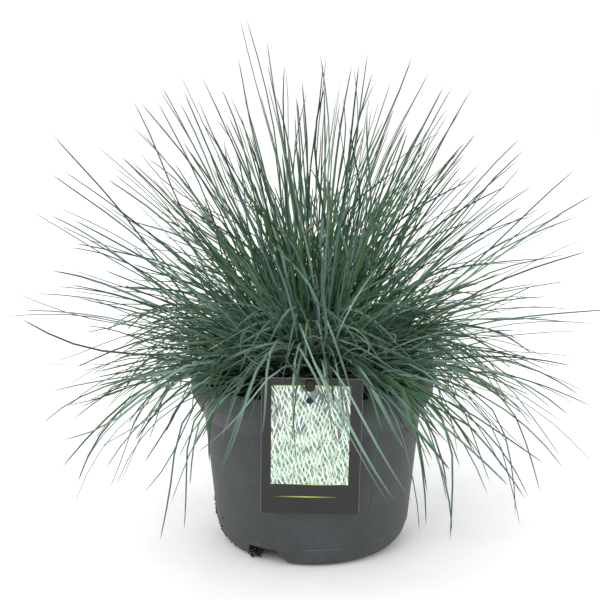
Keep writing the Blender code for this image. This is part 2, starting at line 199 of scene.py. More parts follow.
# %% Paper floor
FLOOR_SIDE = 14.0
bpy.ops.object.select_all(action="DESELECT")
bpy.ops.mesh.primitive_plane_add(size=FLOOR_SIDE)
floor = bpy.context.object
floor.name = "floor"
paper, tree, shader = new_material("background paper", 0.9, 1.5)
fibres = add_node(tree, "TexNoise", {"Scale": 1 / (3 * MM), "Detail": 3.0})
tint = add_node(tree, "ValToRGB", [fibres], stops=[(0.3, "#f6f6f6"), (0.7, "#fafafa")])
set_inputs(shader, {"Base Color": tint})
floor.data.materials.append(paper)

# %% [markdown]
# ## Tools for modelling by hand
#
# The pieces are modelled with the operators that a person uses: add a primitive, go into edit mode,
# pick faces or edges, extrude, scale and bevel them, and apply modifiers. An operator acts on all
# that is selected, so each piece starts by deselecting everything. The picking is done in code, by
# where a face or an edge is.

# %% Modelling helpers


def start_piece():
    """Leaves edit mode and deselects everything, so that a new primitive is on its own."""
    if bpy.context.object and bpy.context.object.mode != "OBJECT":
        bpy.ops.object.mode_set(mode="OBJECT")
    bpy.ops.object.select_all(action="DESELECT")


def edit_all():
    """Goes into edit mode with all of the new primitive selected; returns its object."""
    bpy.ops.object.mode_set(mode="EDIT")
    bpy.ops.mesh.select_all(action="SELECT")
    return bpy.context.object


def close_piece():
    """Turns all the faces outwards and leaves edit mode."""
    bpy.ops.mesh.select_all(action="SELECT")
    bpy.ops.mesh.normals_make_consistent(inside=False)
    bpy.ops.object.mode_set(mode="OBJECT")


def pick(test, kind="FACE"):
    """In edit mode, selects only the faces, edges or verts that pass the test."""
    bpy.ops.mesh.select_mode(type=kind)
    bpy.ops.mesh.select_all(action="DESELECT")
    bm = bmesh.from_edit_mesh(bpy.context.object.data)
    for part in {"FACE": bm.faces, "EDGE": bm.edges, "VERT": bm.verts}[kind]:
        if test(part):
            part.select_set(True)
    bm.select_flush_mode()  # picked verts take their edges and faces with them
    bmesh.update_edit_mesh(bpy.context.object.data)


def apply_all(obj):
    """Applies the object's modifiers in their order."""
    bpy.context.view_layer.objects.active = obj
    for modifier in list(obj.modifiers):
        bpy.ops.object.modifier_apply(modifier=modifier.name)


# %% Finishing helpers


def hand_over(obj, slot, *stands_for):
    """Hangs the piece on the frame's root and hides the nodes it stands for; the slot is not used.
    """
    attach(obj, "root")
    if stands_for:
        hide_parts(*stands_for)


def finish_piece(obj, name, finish, slot, *stands_for, sharp=math.radians(40)):
    """Names the piece, bakes its place into its mesh, shades it and hands it to the frame."""
    start_piece()
    bpy.context.view_layer.objects.active = obj
    obj.select_set(True)
    obj.name = obj.data.name = name
    bpy.ops.object.transform_apply(location=True, rotation=True, scale=True)
    bpy.ops.object.shade_smooth_by_angle(angle=sharp)
    obj.data.materials.clear()
    obj.data.materials.append(finish)
    hand_over(obj, slot, *stands_for)
    print(f"{name}: {len(obj.data.polygons)} faces")


# %% [markdown]
# ## The pot
#
# A nursery pot is injection moulded from recycled polypropylene: one thin wall that flares twice,
# an upright rim band, a foot ring with notches that let water out, and drain holes in its floor.
# It could be turned from a profile with a Screw modifier. Here one ring is extruded upwards and
# scaled again and again, which is the same thing done by hand, and shows how the wall goes up the
# outside, over the rim and down the inside.

# %% Pot sizes
pot_low, pot_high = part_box("pot")
RIM_RADIUS = (pot_high.x - pot_low.x) / 2
POT_HEIGHT = pot_high.z
BAND_BOTTOM = 121.0 * MM
SEAM_RADIUS, SEAM_HEIGHT, SEAM_STEP = 85.0 * MM, 104.0 * MM, 0.6 * MM
CORNER_RADIUS, CORNER_HEIGHT = 76.0 * MM, 17.0 * MM
FOOT_RADIUS, FLOOR_HEIGHT = 63.5 * MM, 14.5 * MM
WALL = 1.6 * MM
ROUND_EDGE = 0.5 * MM
INNER_FLOOR, INNER_CORNER_HEIGHT = FLOOR_HEIGHT + 1.8 * MM, 4.0 * MM
INNER_FOOT, INNER_CORNER = CORNER_RADIUS - 3.5 * WALL, CORNER_RADIUS - 0.8 * WALL
FLOOR_CENTRE = 4 * MM  # the floor ends in a small round face
POT_SIDES = 112


def bent(start, corner, end, steps):
    """Radius and height along a smooth bend that leaves start and enters end towards the corner."""
    shares = [i / steps for i in range(steps + 1)]
    return [tuple((1 - t) ** 2 * a + 2 * t * (1 - t) * b + t ** 2 * c
                  for a, b, c in zip(start, corner, end)) for t in shares]


foot = (FOOT_RADIUS, 0.0)
outer_wall = [
    *bent(foot, (CORNER_RADIUS - 2.8 * MM, 2.6 * MM), (CORNER_RADIUS, CORNER_HEIGHT), 12)[1:],
    (CORNER_RADIUS + 0.5 * MM, CORNER_HEIGHT + 0.2 * MM),  # a mould seam: a fine step in the wall
    (SEAM_RADIUS, SEAM_HEIGHT),
    (SEAM_RADIUS + SEAM_STEP, SEAM_HEIGHT + SEAM_STEP),  # and the stacking seam
    (RIM_RADIUS, BAND_BOTTOM),
    (RIM_RADIUS, POT_HEIGHT - ROUND_EDGE),
    (RIM_RADIUS - ROUND_EDGE * 0.3, POT_HEIGHT - ROUND_EDGE * 0.3),
    (RIM_RADIUS - ROUND_EDGE, POT_HEIGHT),
]
inner_wall = [
    (RIM_RADIUS - WALL + ROUND_EDGE, POT_HEIGHT),
    (RIM_RADIUS - WALL, POT_HEIGHT - ROUND_EDGE),
    (RIM_RADIUS - WALL, BAND_BOTTOM + 0.3 * MM),
    (SEAM_RADIUS - WALL, SEAM_HEIGHT),
    (INNER_CORNER, INNER_FLOOR + INNER_CORNER_HEIGHT),
    (INNER_FOOT, INNER_FLOOR),
    (FLOOR_CENTRE, INNER_FLOOR),
]
underside = [
    *bent((FOOT_RADIUS - WALL, 0.0), (CORNER_RADIUS - 5.1 * MM, 4.4 * MM),
          (CORNER_RADIUS - 2 * WALL, FLOOR_HEIGHT), 8),
    (FLOOR_CENTRE, FLOOR_HEIGHT),
]
print(len(outer_wall), "rings outside,", len(inner_wall), "inside,", len(underside), "underneath")

# %% Rings that are extruded and scaled


def extrude_rings(start, rings):
    """Extrudes the selected ring from (radius, height) to each of the next ones."""
    for (radius, height), (next_radius, next_height) in zip([start, *rings], rings):
        bpy.ops.mesh.extrude_region_move(
            TRANSFORM_OT_translate={"value": (0, 0, next_height - height)})
        grow = next_radius / radius
        bpy.ops.transform.resize(value=(grow, grow, 1), center_override=(0, 0, next_height))


def on_ring(radius, height, slack=0.02 * MM):
    """A test for the vertices of one ring of the pot."""
    return lambda vert: (abs(vert.co.z - height) < slack
                         and abs(math.hypot(vert.co.x, vert.co.y) - radius) < slack)


# %% Turn the pot
SEAM_ROUND = 1.1 * MM

start_piece()
bpy.ops.mesh.primitive_circle_add(vertices=POT_SIDES, radius=foot[0], fill_type="NOTHING")
pot = edit_all()
extrude_rings(foot, outer_wall + inner_wall)
bpy.ops.mesh.edge_face_add()
pick(on_ring(*foot), "VERT")
extrude_rings(foot, underside)
bpy.ops.mesh.edge_face_add()
bpy.ops.mesh.select_all(action="SELECT")
bpy.ops.mesh.normals_make_consistent(inside=False)
soft_rings = [(RIM_RADIUS, BAND_BOTTOM), (SEAM_RADIUS + SEAM_STEP, SEAM_HEIGHT + SEAM_STEP)]
for ring in soft_rings:
    is_on = on_ring(*ring)
    pick(lambda edge: all(is_on(vert) for vert in edge.verts), "EDGE")
    bpy.ops.mesh.bevel(offset=SEAM_ROUND, segments=3)
bpy.ops.object.mode_set(mode="OBJECT")
print(f"pot wall: {len(pot.data.polygons)} faces, {2 * RIM_RADIUS / MM:.0f} mm across")

# %% Cut the notches
NOTCH_AZIMUTHS = [math.radians(a) for a in (240, 0, 120)]
NOTCH_HEIGHT, NOTCH_WIDTH, NOTCH_TAPER = 13.5 * MM, 35.0 * MM, 0.76
NOTCH_DEPTH, NOTCH_RADIUS, NOTCH_ROUND = 23 * MM, CORNER_RADIUS - 7.5 * MM, 3.0 * MM
BELOW = 3.0 * MM  # how far the cutter goes past the foot


def combine(obj, other, operation="DIFFERENCE"):
    """Cuts the other object out of this one, or joins it on with UNION, and removes it."""
    boolean = obj.modifiers.new("combine", "BOOLEAN")
    boolean.operation = operation
    boolean.solver = "EXACT"
    boolean.object = other
    apply_all(obj)
    bpy.data.objects.remove(other)


for azimuth in NOTCH_AZIMUTHS:
    start_piece()
    bpy.ops.mesh.primitive_cube_add(size=1.0, location=(NOTCH_RADIUS, 0, 0))
    notch = edit_all()
    bpy.ops.transform.resize(value=(NOTCH_DEPTH, NOTCH_WIDTH, NOTCH_HEIGHT + BELOW))
    bpy.ops.transform.translate(value=(0, 0, (NOTCH_HEIGHT - BELOW) / 2))
    pick(lambda face: face.normal.z > 0.9)
    bpy.ops.transform.resize(value=(1, NOTCH_TAPER, 1))
    pick(lambda face: face.normal.z < -0.9)
    bpy.ops.transform.resize(value=(1, 1 + (1 - NOTCH_TAPER) * BELOW / NOTCH_HEIGHT, 1))
    pick(lambda edge: all(vert.co.z > 0 for vert in edge.verts)
         and abs(edge.verts[0].co.y - edge.verts[1].co.y) < MM, "EDGE")
    bpy.ops.mesh.bevel(offset=NOTCH_ROUND, segments=6)
    bpy.ops.object.mode_set(mode="OBJECT")
    notch.matrix_world = Matrix.Rotation(azimuth, 4, "Z") @ notch.matrix_world
    combine(pot, notch)
print(len(NOTCH_AZIMUTHS), f"notches, {NOTCH_WIDTH / MM:.0f} mm wide at the foot")

# %% Cut the drain holes
DRAIN_COUNT, DRAIN_RADIUS, DRAIN_RING, DRAIN_CUT = 8, 4.0 * MM, 48.0 * MM, 5.4 * MM
POT_EDGE = 0.3 * MM


def ease_edges(obj, width):
    """Rounds the sharp edges a little, as they are on a moulded or cut piece."""
    edges = obj.modifiers.new("edges", "BEVEL")
    edges.width = width
    edges.segments = 2
    edges.limit_method = "ANGLE"
    edges.angle_limit = math.radians(50)
    apply_all(obj)


for i in range(DRAIN_COUNT):
    start_piece()
    angle = math.tau * (i + 0.5) / DRAIN_COUNT
    bpy.ops.mesh.primitive_cylinder_add(
        vertices=24, radius=DRAIN_RADIUS, depth=DRAIN_CUT,
        location=(DRAIN_RING * math.cos(angle), DRAIN_RING * math.sin(angle),
                  (FLOOR_HEIGHT + INNER_FLOOR) / 2))
    combine(pot, bpy.context.object)
ease_edges(pot, POT_EDGE)
print(DRAIN_COUNT, f"drain holes of {2 * DRAIN_RADIUS / MM:.0f} mm")

# %% [markdown]
# ## Pot plastic
#
# Recycled polypropylene is dyed dark grey, but never quite evenly: regrind leaves it faintly
# mottled. The mould is spark-eroded, so the wall has a fine matt grain that spreads the highlight,
# and handling leaves pale dust all over it. Along the mould's seam low down, a pale line is painted
# in places: a painted highlight, where the seam's small ledge catches the light.
# The real grain is about 0.15 mm, too fine to show here, so it is drawn three times as coarse.

# %% Material: moulded polypropylene
# painted highlight: a pale line along the mould seam low down, in places, where the seam's small
# ledge catches the light
SEAM_HIGHLIGHT_HEIGHT, SEAM_HIGHLIGHT_WIDTH = 16.3 * MM, 0.5 * MM
GRAIN = 0.45 * MM  # coarser than the real grain, so that it shows

polypropylene, tree, shader = new_material("injection moulded polypropylene", 0.58, 1.49)
place = add_node(tree, "TexCoord").outputs["Object"]
mottle = add_node(tree, "TexNoise", {"Vector": place, "Scale": 1 / (22 * MM), "Detail": 4.0,
                                     "Roughness": 0.6})
base = add_node(tree, "ValToRGB", [mottle], stops=[(0.35, "#313538"), (0.68, "#3a3e41")])
specks = add_node(tree, "TexNoise", {"Vector": place, "Scale": 1 / (1.3 * MM), "Detail": 2.0})
dust = add_node(tree, "ValToRGB", [specks], stops=[(0.42, "#000000"), (0.76, "#484848")])
dusty = add_node(tree, "Mix", {"Factor": dust, "A": base, "B": linear("#8d8880")},
                 data_type="RGBA")
height = add_node(tree, "SeparateXYZ", [place]).outputs["Z"]
above = add_node(tree, "Math", [height, SEAM_HIGHLIGHT_HEIGHT], operation="SUBTRACT")
off_seam = add_node(tree, "Math", [above], operation="ABSOLUTE")
on_seam = add_node(tree, "Math", [off_seam, -1 / SEAM_HIGHLIGHT_WIDTH, 1.0], operation="MULTIPLY_ADD",
                   use_clamp=True)
in_places = add_node(tree, "Math", [mottle, 5.0, -2.1], operation="MULTIPLY_ADD", use_clamp=True)
# painted highlight along the mould seam, shown only where the mottle is pale
painted_seam_highlight = add_node(tree, "Math", [on_seam, in_places], operation="MULTIPLY")
seam_highlighted_colour = add_node(tree, "Mix", {"Factor": painted_seam_highlight, "A": dusty, "B": linear("#5c6265")},
                data_type="RGBA")
grain = add_node(tree, "TexNoise", {"Vector": place, "Scale": 1 / GRAIN, "Detail": 2.0})
bump = add_node(tree, "Bump", {"Height": grain, "Strength": 0.25, "Distance": 0.05 * MM})
set_inputs(shader, {"Base Color": seam_highlighted_colour, "Normal": bump})
finish_piece(pot, "nursery_pot", polypropylene, "pot_plastic", "pot")

# %% [markdown]
# ## Soil
#
# Potting soil is peat with bark and fibre: nearly black where it is wet, lumpy, and so porous that
# it has no shine at all. The body follows the inside of the pot. Its open top is inset ring by
# ring, so that it has enough faces for a Displace modifier to raise lumps on it. Loose crumbs are
# laid on it further down.

# %% Soil body
SOIL_LEVEL = 126.0 * MM
SOIL_SLACK = 0.4 * MM  # air between soil and pot, which stops the two surfaces from fighting
SOIL_SIDES, INSETS, INSET_STEP = 96, 26, 3.2 * MM
LUMPS = (("lumps", 14.0 * MM, 5.0 * MM), ("crumbs", 4.0 * MM, 2.2 * MM))  # name, size, height
ROUGH = math.radians(80)  # edges of lumps and felt stay smooth up to this angle


def roughen(obj, name, size, height, rest, **settings):
    """Adds lumps of this size and height; rest is the grey that stays where it is."""
    clouds = bpy.data.textures.new(name, "CLOUDS")
    clouds.noise_scale = size
    displace = obj.modifiers.new(name, "DISPLACE")
    displace.texture = clouds
    displace.strength = height
    displace.mid_level = rest
    for setting, value in settings.items():
        setattr(displace, setting, value)


soil_top = RIM_RADIUS - WALL - SOIL_SLACK
soil_rings = [
    (INNER_CORNER - SOIL_SLACK, INNER_FLOOR + INNER_CORNER_HEIGHT + SOIL_SLACK),
    (SEAM_RADIUS - WALL - SOIL_SLACK, SEAM_HEIGHT),
    (soil_top, BAND_BOTTOM + 0.5 * MM),
    (soil_top, SOIL_LEVEL - 1 * MM),
]
start = (INNER_FOOT - SOIL_SLACK, INNER_FLOOR + SOIL_SLACK)
start_piece()
bpy.ops.mesh.primitive_circle_add(vertices=SOIL_SIDES, radius=start[0],
                                  location=(0, 0, start[1]), fill_type="NGON")
bpy.ops.object.transform_apply(location=True)
soil = edit_all()
extrude_rings(start, soil_rings)
for _ in range(INSETS):
    bpy.ops.mesh.inset(thickness=INSET_STEP)
close_piece()
open_top = soil.vertex_groups.new(name="open_top")
open_top.add([vert.index for vert in soil.data.vertices
              if vert.co.z > SOIL_LEVEL - 2 * MM and vert.co.xy.length < soil_top - MM],
             1.0, "REPLACE")
for lump in LUMPS:
    roughen(soil, *lump, 0.45, direction="Z", vertex_group="open_top")
apply_all(soil)

# %% Material: peat potting mix
peat, tree, shader = new_material("peat potting mix", 0.95, 1.45)
place = add_node(tree, "TexCoord").outputs["Object"]
crumb = add_node(tree, "TexNoise", {"Vector": place, "Scale": 1 / (2.5 * MM), "Detail": 6.0,
                                    "Roughness": 0.7})
colour = add_node(tree, "ValToRGB", [crumb],
                  stops=[(0.3, "#0e0b09"), (0.62, "#2b211a"), (0.8, "#5a4735")])
bump = add_node(tree, "Bump", {"Height": crumb, "Strength": 0.8, "Distance": 1.0 * MM})
set_inputs(shader, {"Base Color": colour, "Normal": bump})
finish_piece(soil, "soil_body", peat, "soil", "potting_soil", sharp=ROUGH)

# %% [markdown]
# ## Crown
#
# Year after year the leaves die back to their bases, which stay as a dense, felted dome. The dome
# is a sphere, flattened, cut off flat where it sits in the soil, and roughened. Stubs of old leaf
# bases are planted all over it later, so only its dark, dull felt shows between them.

# %% Crown dome
CROWN_RADIUS, CROWN_HEIGHT, CROWN_DEPTH = 47.0 * MM, 31.0 * MM, 6.0 * MM
FELT_ROOM = 0.985  # the dome is drawn in a little, and the felt brings it out again

start_piece()
bpy.ops.mesh.primitive_uv_sphere_add(segments=64, ring_count=40, radius=CROWN_RADIUS,
                                     location=(0, 0, SOIL_LEVEL))
bpy.ops.object.transform_apply(location=True)
crown = edit_all()
bpy.ops.transform.resize(value=(FELT_ROOM, FELT_ROOM, CROWN_HEIGHT / CROWN_RADIUS),
                         center_override=(0, 0, SOIL_LEVEL))
bpy.ops.mesh.bisect(plane_co=(0, 0, SOIL_LEVEL - CROWN_DEPTH), plane_no=(0, 0, 1),
                    use_fill=True, clear_inner=True)
bpy.ops.object.mode_set(mode="OBJECT")
roughen(crown, "felt", 5.0 * MM, 2.4 * MM, 0.7)
apply_all(crown)

# %% Material: old leaf bases
old_bases, tree, shader = new_material("felted old leaf bases", 0.9, 1.45)
place = add_node(tree, "TexCoord").outputs["Object"]
fibre = add_node(tree, "TexNoise", {"Vector": place, "Scale": 1 / (3 * MM), "Detail": 5.0,
                                    "Roughness": 0.65})
colour = add_node(tree, "ValToRGB", [fibre],
                  stops=[(0.3, "#12130e"), (0.6, "#2a2a1e"), (0.8, "#4d4631")])
set_inputs(shader, {"Base Color": colour})
finish_piece(crown, "crown_felt", old_bases, "leaf_bases", "crown", sharp=ROUGH)

# %% [markdown]
# ## One leaf
#
# A fescue leaf is a blade rolled round its midrib: a stiff needle about a millimetre wide that
# keeps its width for most of its length and then runs out to a point as fine as a hair. One leaf is
# modelled here, upright, one unit long and one unit wide: a five-sided ring, flattened, is extruded
# ten times and closed to a point. Every leaf of the plant is a bent copy of it with its own mesh.
# It has few faces, because there are some thousands of copies.

# %% Model the leaf
LEAF_SIDES, LEAF_FLATNESS = 5, 0.62
LEAF_RINGS = [  # share of the length, share of the width
    (0.05, 1.08), (0.16, 1.0), (0.29, 1.0), (0.42, 0.98), (0.55, 0.94),
    (0.67, 0.89), (0.78, 0.81), (0.88, 0.70), (0.96, 0.48),
]


def take_form(obj):
    """The points and faces of a form that has been modelled, which is then removed."""
    form = {"points": np.array([vert.co[:] for vert in obj.data.vertices]),
            "faces": [list(face.vertices) for face in obj.data.polygons]}
    print(f"{obj.name}: {len(form['faces'])} faces")
    bpy.data.objects.remove(obj)
    return form


def model_stalk(name, sides, flatness, rings):
    """A closed stalk, upright from z = 0 to z = 1, through rings of (height, width)."""
    start_piece()
    bpy.ops.mesh.primitive_circle_add(vertices=sides, radius=0.5, fill_type="NGON")
    stalk = edit_all()
    stalk.name = name
    bpy.ops.transform.resize(value=(1, flatness, 1), center_override=(0, 0, 0))
    extrude_rings((1.0, 0.0), [(width, height) for height, width in rings])
    bpy.ops.mesh.extrude_region_move(
        TRANSFORM_OT_translate={"value": (0, 0, 1 - rings[-1][0])})
    bpy.ops.mesh.merge(type="COLLAPSE")
    close_piece()
    return take_form(stalk)


leaf_form = model_stalk("leaf", LEAF_SIDES, LEAF_FLATNESS, LEAF_RINGS)
sheath_form = model_stalk("sheath", 5, 0.8, [(0.25, 1.1), (0.6, 0.9), (0.85, 0.6)])
hair_form = model_stalk("hair", 3, 1.0, [(0.3, 1.0), (0.6, 0.8), (0.85, 0.5)])

# %% [markdown]
# ## How a leaf grows
#
# A leaf leaves the crown at right angles to it and then turns steadily over under its own weight,
# so its path is an arc in an upright plane, with a slight sideways sway. A stalk is written as the
# numbers that say this: root, lean from the vertical, azimuth, length, bend and sway, with a
# ripple (wave and phase), and a kink for the share of the bend that comes suddenly, near the
# middle. Paths are worked out for all the stalks of a piece at once.

# %% Paths
PATH_STEPS = 40
KINK_START, KINK_SPAN = 0.3, 0.45  # shares of the length
SIDE_RIPPLE = 0.6  # how much of the ripple also goes sideways
AIM_ROUNDS = 8
rng = np.random.default_rng(2026)


def follow(stalks):
    """The path of each stalk: its points and its headings."""
    share = (np.arange(PATH_STEPS) + 0.5) / PATH_STEPS
    ripple = np.sin(math.tau * share + stalks["phase"][:, None]) * stalks["wave"][:, None]
    past_kink = np.clip((share - KINK_START) / KINK_SPAN, 0, 1)
    sudden = past_kink ** 2 * (3 - 2 * past_kink)
    kink = stalks["kink"][:, None]
    bent = (1 - kink) * share + kink * sudden
    lean = stalks["lean"][:, None] + stalks["bend"][:, None] * bent + ripple
    sway = stalks["sway"][:, None] * share + SIDE_RIPPLE * ripple
    azimuth = stalks["azimuth"][:, None]
    flat = np.cos(sway) * np.sin(lean)
    heading = np.stack([
        flat * np.cos(azimuth) - np.sin(sway) * np.sin(azimuth),
        flat * np.sin(azimuth) + np.sin(sway) * np.cos(azimuth),
        np.cos(sway) * np.cos(lean),
    ], axis=-1)
    strides = heading * (stalks["length"] / PATH_STEPS)[:, None, None]
    root = stalks["root"][:, None, :]
    points = np.concatenate([root, root + np.cumsum(strides, axis=1)], axis=1)
    return points, heading


def aim(stalks, tips):
    """Turns and stretches the stalks until each one ends at its tip."""
    wanted = tips - stalks["root"]
    for _ in range(AIM_ROUNDS):
        points, _ = follow(stalks)
        reached = points[:, -1] - stalks["root"]
        for vectors in (wanted, reached):
            vectors[:, :2] += 1e-9  # a heading straight up has no azimuth
        lean_of = [np.arctan2(np.hypot(v[:, 0], v[:, 1]), v[:, 2]) for v in (wanted, reached)]
        azimuth_of = [np.arctan2(v[:, 1], v[:, 0]) for v in (wanted, reached)]
        turn = azimuth_of[0] - azimuth_of[1]
        stalks["lean"] = stalks["lean"] + lean_of[0] - lean_of[1]
        stalks["azimuth"] = stalks["azimuth"] + np.arctan2(np.sin(turn), np.cos(turn))
        stalks["length"] = stalks["length"] * (np.linalg.norm(wanted, axis=1)
                                               / np.linalg.norm(reached, axis=1))
    return stalks


def joined(*groups):
    """One set of stalks from several."""
    return {key: np.concatenate([group[key] for group in groups]) for key in groups[0]}


def keep_only(stalks, keep):
    """The stalks that the mask or the index keeps."""
    return {key: values[keep] for key, values in stalks.items()}


# %% Copies


def bend_copies(form, stalks):
    """The points of one copy of the form along each stalk."""
    points, heading = follow(stalks)
    spot = form["points"][:, 2] * PATH_STEPS
    low = np.clip(np.floor(spot).astype(int), 0, PATH_STEPS - 1)
    part = (spot - low)[None, :, None]
    on_path = points[:, low] * (1 - part) + points[:, low + 1] * part
    near = np.clip(np.round(spot - 0.5).astype(int), 0, PATH_STEPS - 1)
    along = heading[:, near]
    azimuth = stalks["azimuth"]
    side = np.stack([-np.sin(azimuth), np.cos(azimuth), 0 * azimuth], axis=-1)[:, None, :]
    side = side - along * np.sum(side * along, axis=-1, keepdims=True)
    side /= np.linalg.norm(side, axis=-1, keepdims=True)
    above = np.cross(along, side)
    turn = stalks["turn"][:, None, None]
    across = np.cos(turn) * side + np.sin(turn) * above
    thick = np.cos(turn) * above - np.sin(turn) * side
    width = stalks["width"][:, None, None]
    return on_path + width * (form["points"][None, :, 0, None] * across
                              + form["points"][None, :, 1, None] * thick)


def add_copies(name, form, copies, finish, slot, *stands_for, numbers=None):
    """Makes one piece of the form's copies, with the numbers that its material reads."""
    count = len(form["points"])
    faces = [[index + count * i for index in face]
             for i in range(len(copies)) for face in form["faces"]]
    data = bpy.data.meshes.new(name)
    data.from_pydata(copies.reshape(-1, 3).tolist(), [], faces)
    for label, values in (numbers or {}).items():
        attribute = data.attributes.new(label, "FLOAT", "POINT")
        attribute.data.foreach_set("value", values.astype(np.float32))
    data.materials.append(finish)
    obj = bpy.data.objects.new(name, data)
    bpy.context.scene.collection.objects.link(obj)
    hand_over(obj, slot, *stands_for)


def grow(name, form, stalks, finish, slot, *stands_for):
    """Makes one piece of stalks. Its material reads along, tone and dry."""
    count = len(form["points"])
    numbers = {"along": np.tile(form["points"][:, 2], len(stalks["tone"])),
               "tone": np.repeat(stalks["tone"], count), "dry": np.repeat(stalks["dry"], count)}
    add_copies(name, form, bend_copies(form, stalks), finish, slot, *stands_for, numbers=numbers)


# %% [markdown]
# ## What a leaf has to stay clear of
#
# Leaves rest against each other, but none goes through the pot, the soil, the label or the table.
# A path that would is thrown away and another one is drawn.

# %% Clearances
LABEL_WIDTH, LABEL_HEIGHT, LABEL_THICKNESS = 72.0 * MM, 109.0 * MM, 0.6 * MM
LABEL_LEAN, LABEL_TURN = math.radians(8.6), math.radians(-1.1)
LABEL_SIDE, LABEL_DROP = -0.9 * MM, 17.9 * MM
GAP = 0.3 * MM

label_up = Vector((0, -math.sin(LABEL_LEAN), math.cos(LABEL_LEAN)))
label_out = Vector((0, -math.cos(LABEL_LEAN), -math.sin(LABEL_LEAN)))
label_touch = Vector((LABEL_SIDE, -(RIM_RADIUS + GAP), BAND_BOTTOM))
label_centre = label_touch - LABEL_DROP * label_up + LABEL_THICKNESS / 2 * label_out
label_place = Matrix.LocRotScale(
    label_centre, Euler((math.radians(90) + LABEL_LEAN, 0.0, LABEL_TURN), "ZYX"), None)

wall_radii, wall_heights = np.array(outer_wall).T
LEAF_CLEARANCE, SOIL_CLEARANCE = 1.0 * MM, 2 * MM
LOWEST_TIP = 16.0 * MM
ROOTED = 3  # the first path steps are in the crown
BEHIND_LABEL, HALF_BEHIND = 11 * MM, 12.5 * MM  # middle and half depth of the space behind it
LABEL_TOP_FREE = 6 * MM  # any leaf may hang over this much of the label
BOX_MARGIN = 12 * MM


def is_clear(stalks, over_label=False):
    """Says for each stalk whether its path misses the pot, the soil, the label and the table."""
    points = follow(stalks)[0][:, ROOTED:]
    radius = np.hypot(points[..., 0], points[..., 1])
    height = points[..., 2]
    wall = np.interp(height, wall_heights, wall_radii) + LEAF_CLEARANCE
    low = height < POT_HEIGHT + LEAF_CLEARANCE
    in_rim = low & (radius < wall) & (radius > RIM_RADIUS - WALL - LEAF_CLEARANCE)
    in_soil = (height < SOIL_LEVEL + SOIL_CLEARANCE) & (radius < wall)
    blocked = in_rim | in_soil | (height < LOWEST_TIP)
    to_label = np.array(label_place.inverted())
    across, up, out = np.moveaxis(points @ to_label[:3, :3].T + to_label[:3, 3], -1, 0)
    beside = ((np.abs(across) < LABEL_WIDTH / 2 + LEAF_CLEARANCE)
              & (np.abs(up) < LABEL_HEIGHT / 2 + LEAF_CLEARANCE))
    blocked |= beside & (np.abs(out + BEHIND_LABEL) < HALF_BEHIND)
    if not over_label:
        blocked |= beside & (out > 0) & (up < LABEL_HEIGHT / 2 - LABEL_TOP_FREE)
    inside = np.ones(len(points), bool)
    for axis in range(3):
        inside &= points[..., axis].max(axis=1) < cad_high[axis] + BOX_MARGIN
        inside &= points[..., axis].min(axis=1) > cad_low[axis] - BOX_MARGIN
    return inside & ~blocked.any(axis=1)


# %% [markdown]
# ## Leaf finish
#
# The blue of blue fescue is not pigment. The leaf is green, and a thin bloom of wax scatters blue
# light off it, most on the sunny side. Along the leaf the colour is darker and yellower at the foot
# and brightest in the middle, and towards the tip it is painted darker: painted shade, because the
# tips at the top of the clump are lit from behind. Old leaves and some tips bleach to straw. Each
# leaf carries three numbers for this: how far along it a point is, its own tone, and how much of it
# is dry.
# The flakes of wax are far finer than this image can show, so their relief is drawn much coarser.

# %% Material: waxed leaf
FLAKE = 0.6 * MM  # coarser than the real flakes of wax, so that they show

waxed_leaf, tree, shader = new_material("wax bloomed grass leaf", 0.42, 1.42)
along = add_node(tree, "Attribute", attribute_name="along").outputs["Fac"]
tone = add_node(tree, "Attribute", attribute_name="tone").outputs["Fac"]
dry = add_node(tree, "Attribute", attribute_name="dry").outputs["Fac"]
bloom = add_node(tree, "ValToRGB", [tone],
                 stops=[(0.0, "#56783f"), (1.0, "#9bb2ab"), (0.15, "#426b3d"), (0.34, "#264631"),
                        (0.55, "#476a52"), (0.76, "#5c7c74")])
# darker and yellower at the foot, brightest in the middle, and darker again towards the tip: painted
# shade, as the tips at the top of the clump are lit from behind
foot_tint_and_tip_shade = add_node(tree, "ValToRGB", [along],
                     stops=[(0.0, "#a3a18f"), (1.0, "#667f60"), (0.28, "#f8f9fa"),
                            (0.62, "#d9e7d9")])
leaf_colour = add_node(tree, "Mix", {"Factor": 1.0, "A": bloom, "B": foot_tint_and_tip_shade},
                       data_type="RGBA", blend_type="MULTIPLY")
living = add_node(tree, "Math", [1.0, dry], operation="SUBTRACT")
past = add_node(tree, "Math", [along, living], operation="SUBTRACT")
straw_share = add_node(tree, "Math", [past, 14.0], operation="MULTIPLY", use_clamp=True)
straw = add_node(tree, "ValToRGB", [tone], stops=[(0.0, "#a37c42"), (1.0, "#d9bd86")])
whole = add_node(tree, "Mix", {"Factor": straw_share, "A": leaf_colour, "B": straw},
                 data_type="RGBA")
place = add_node(tree, "TexCoord").outputs["Object"]
wax = add_node(tree, "TexNoise", {"Vector": place, "Scale": 1 / FLAKE})
bump = add_node(tree, "Bump", {"Height": wax, "Strength": 0.2, "Distance": 0.05 * MM})
set_inputs(shader, {"Base Color": whole, "Normal": bump, "Sheen Weight": 0.12,
                    "Sheen Roughness": 0.4})

# %% [markdown]
# ## Tufts
#
# The frame's fifty-two tufts each stand for a sheaf of leaves. The rule that placed them is
# repeated here: rings round the crown, each further down it and longer in the droop. A tuft grows
# four leaves along its solid's four blades, so that it reaches as far, and then some dozens more
# in small sheaves that lean a few degrees either way.

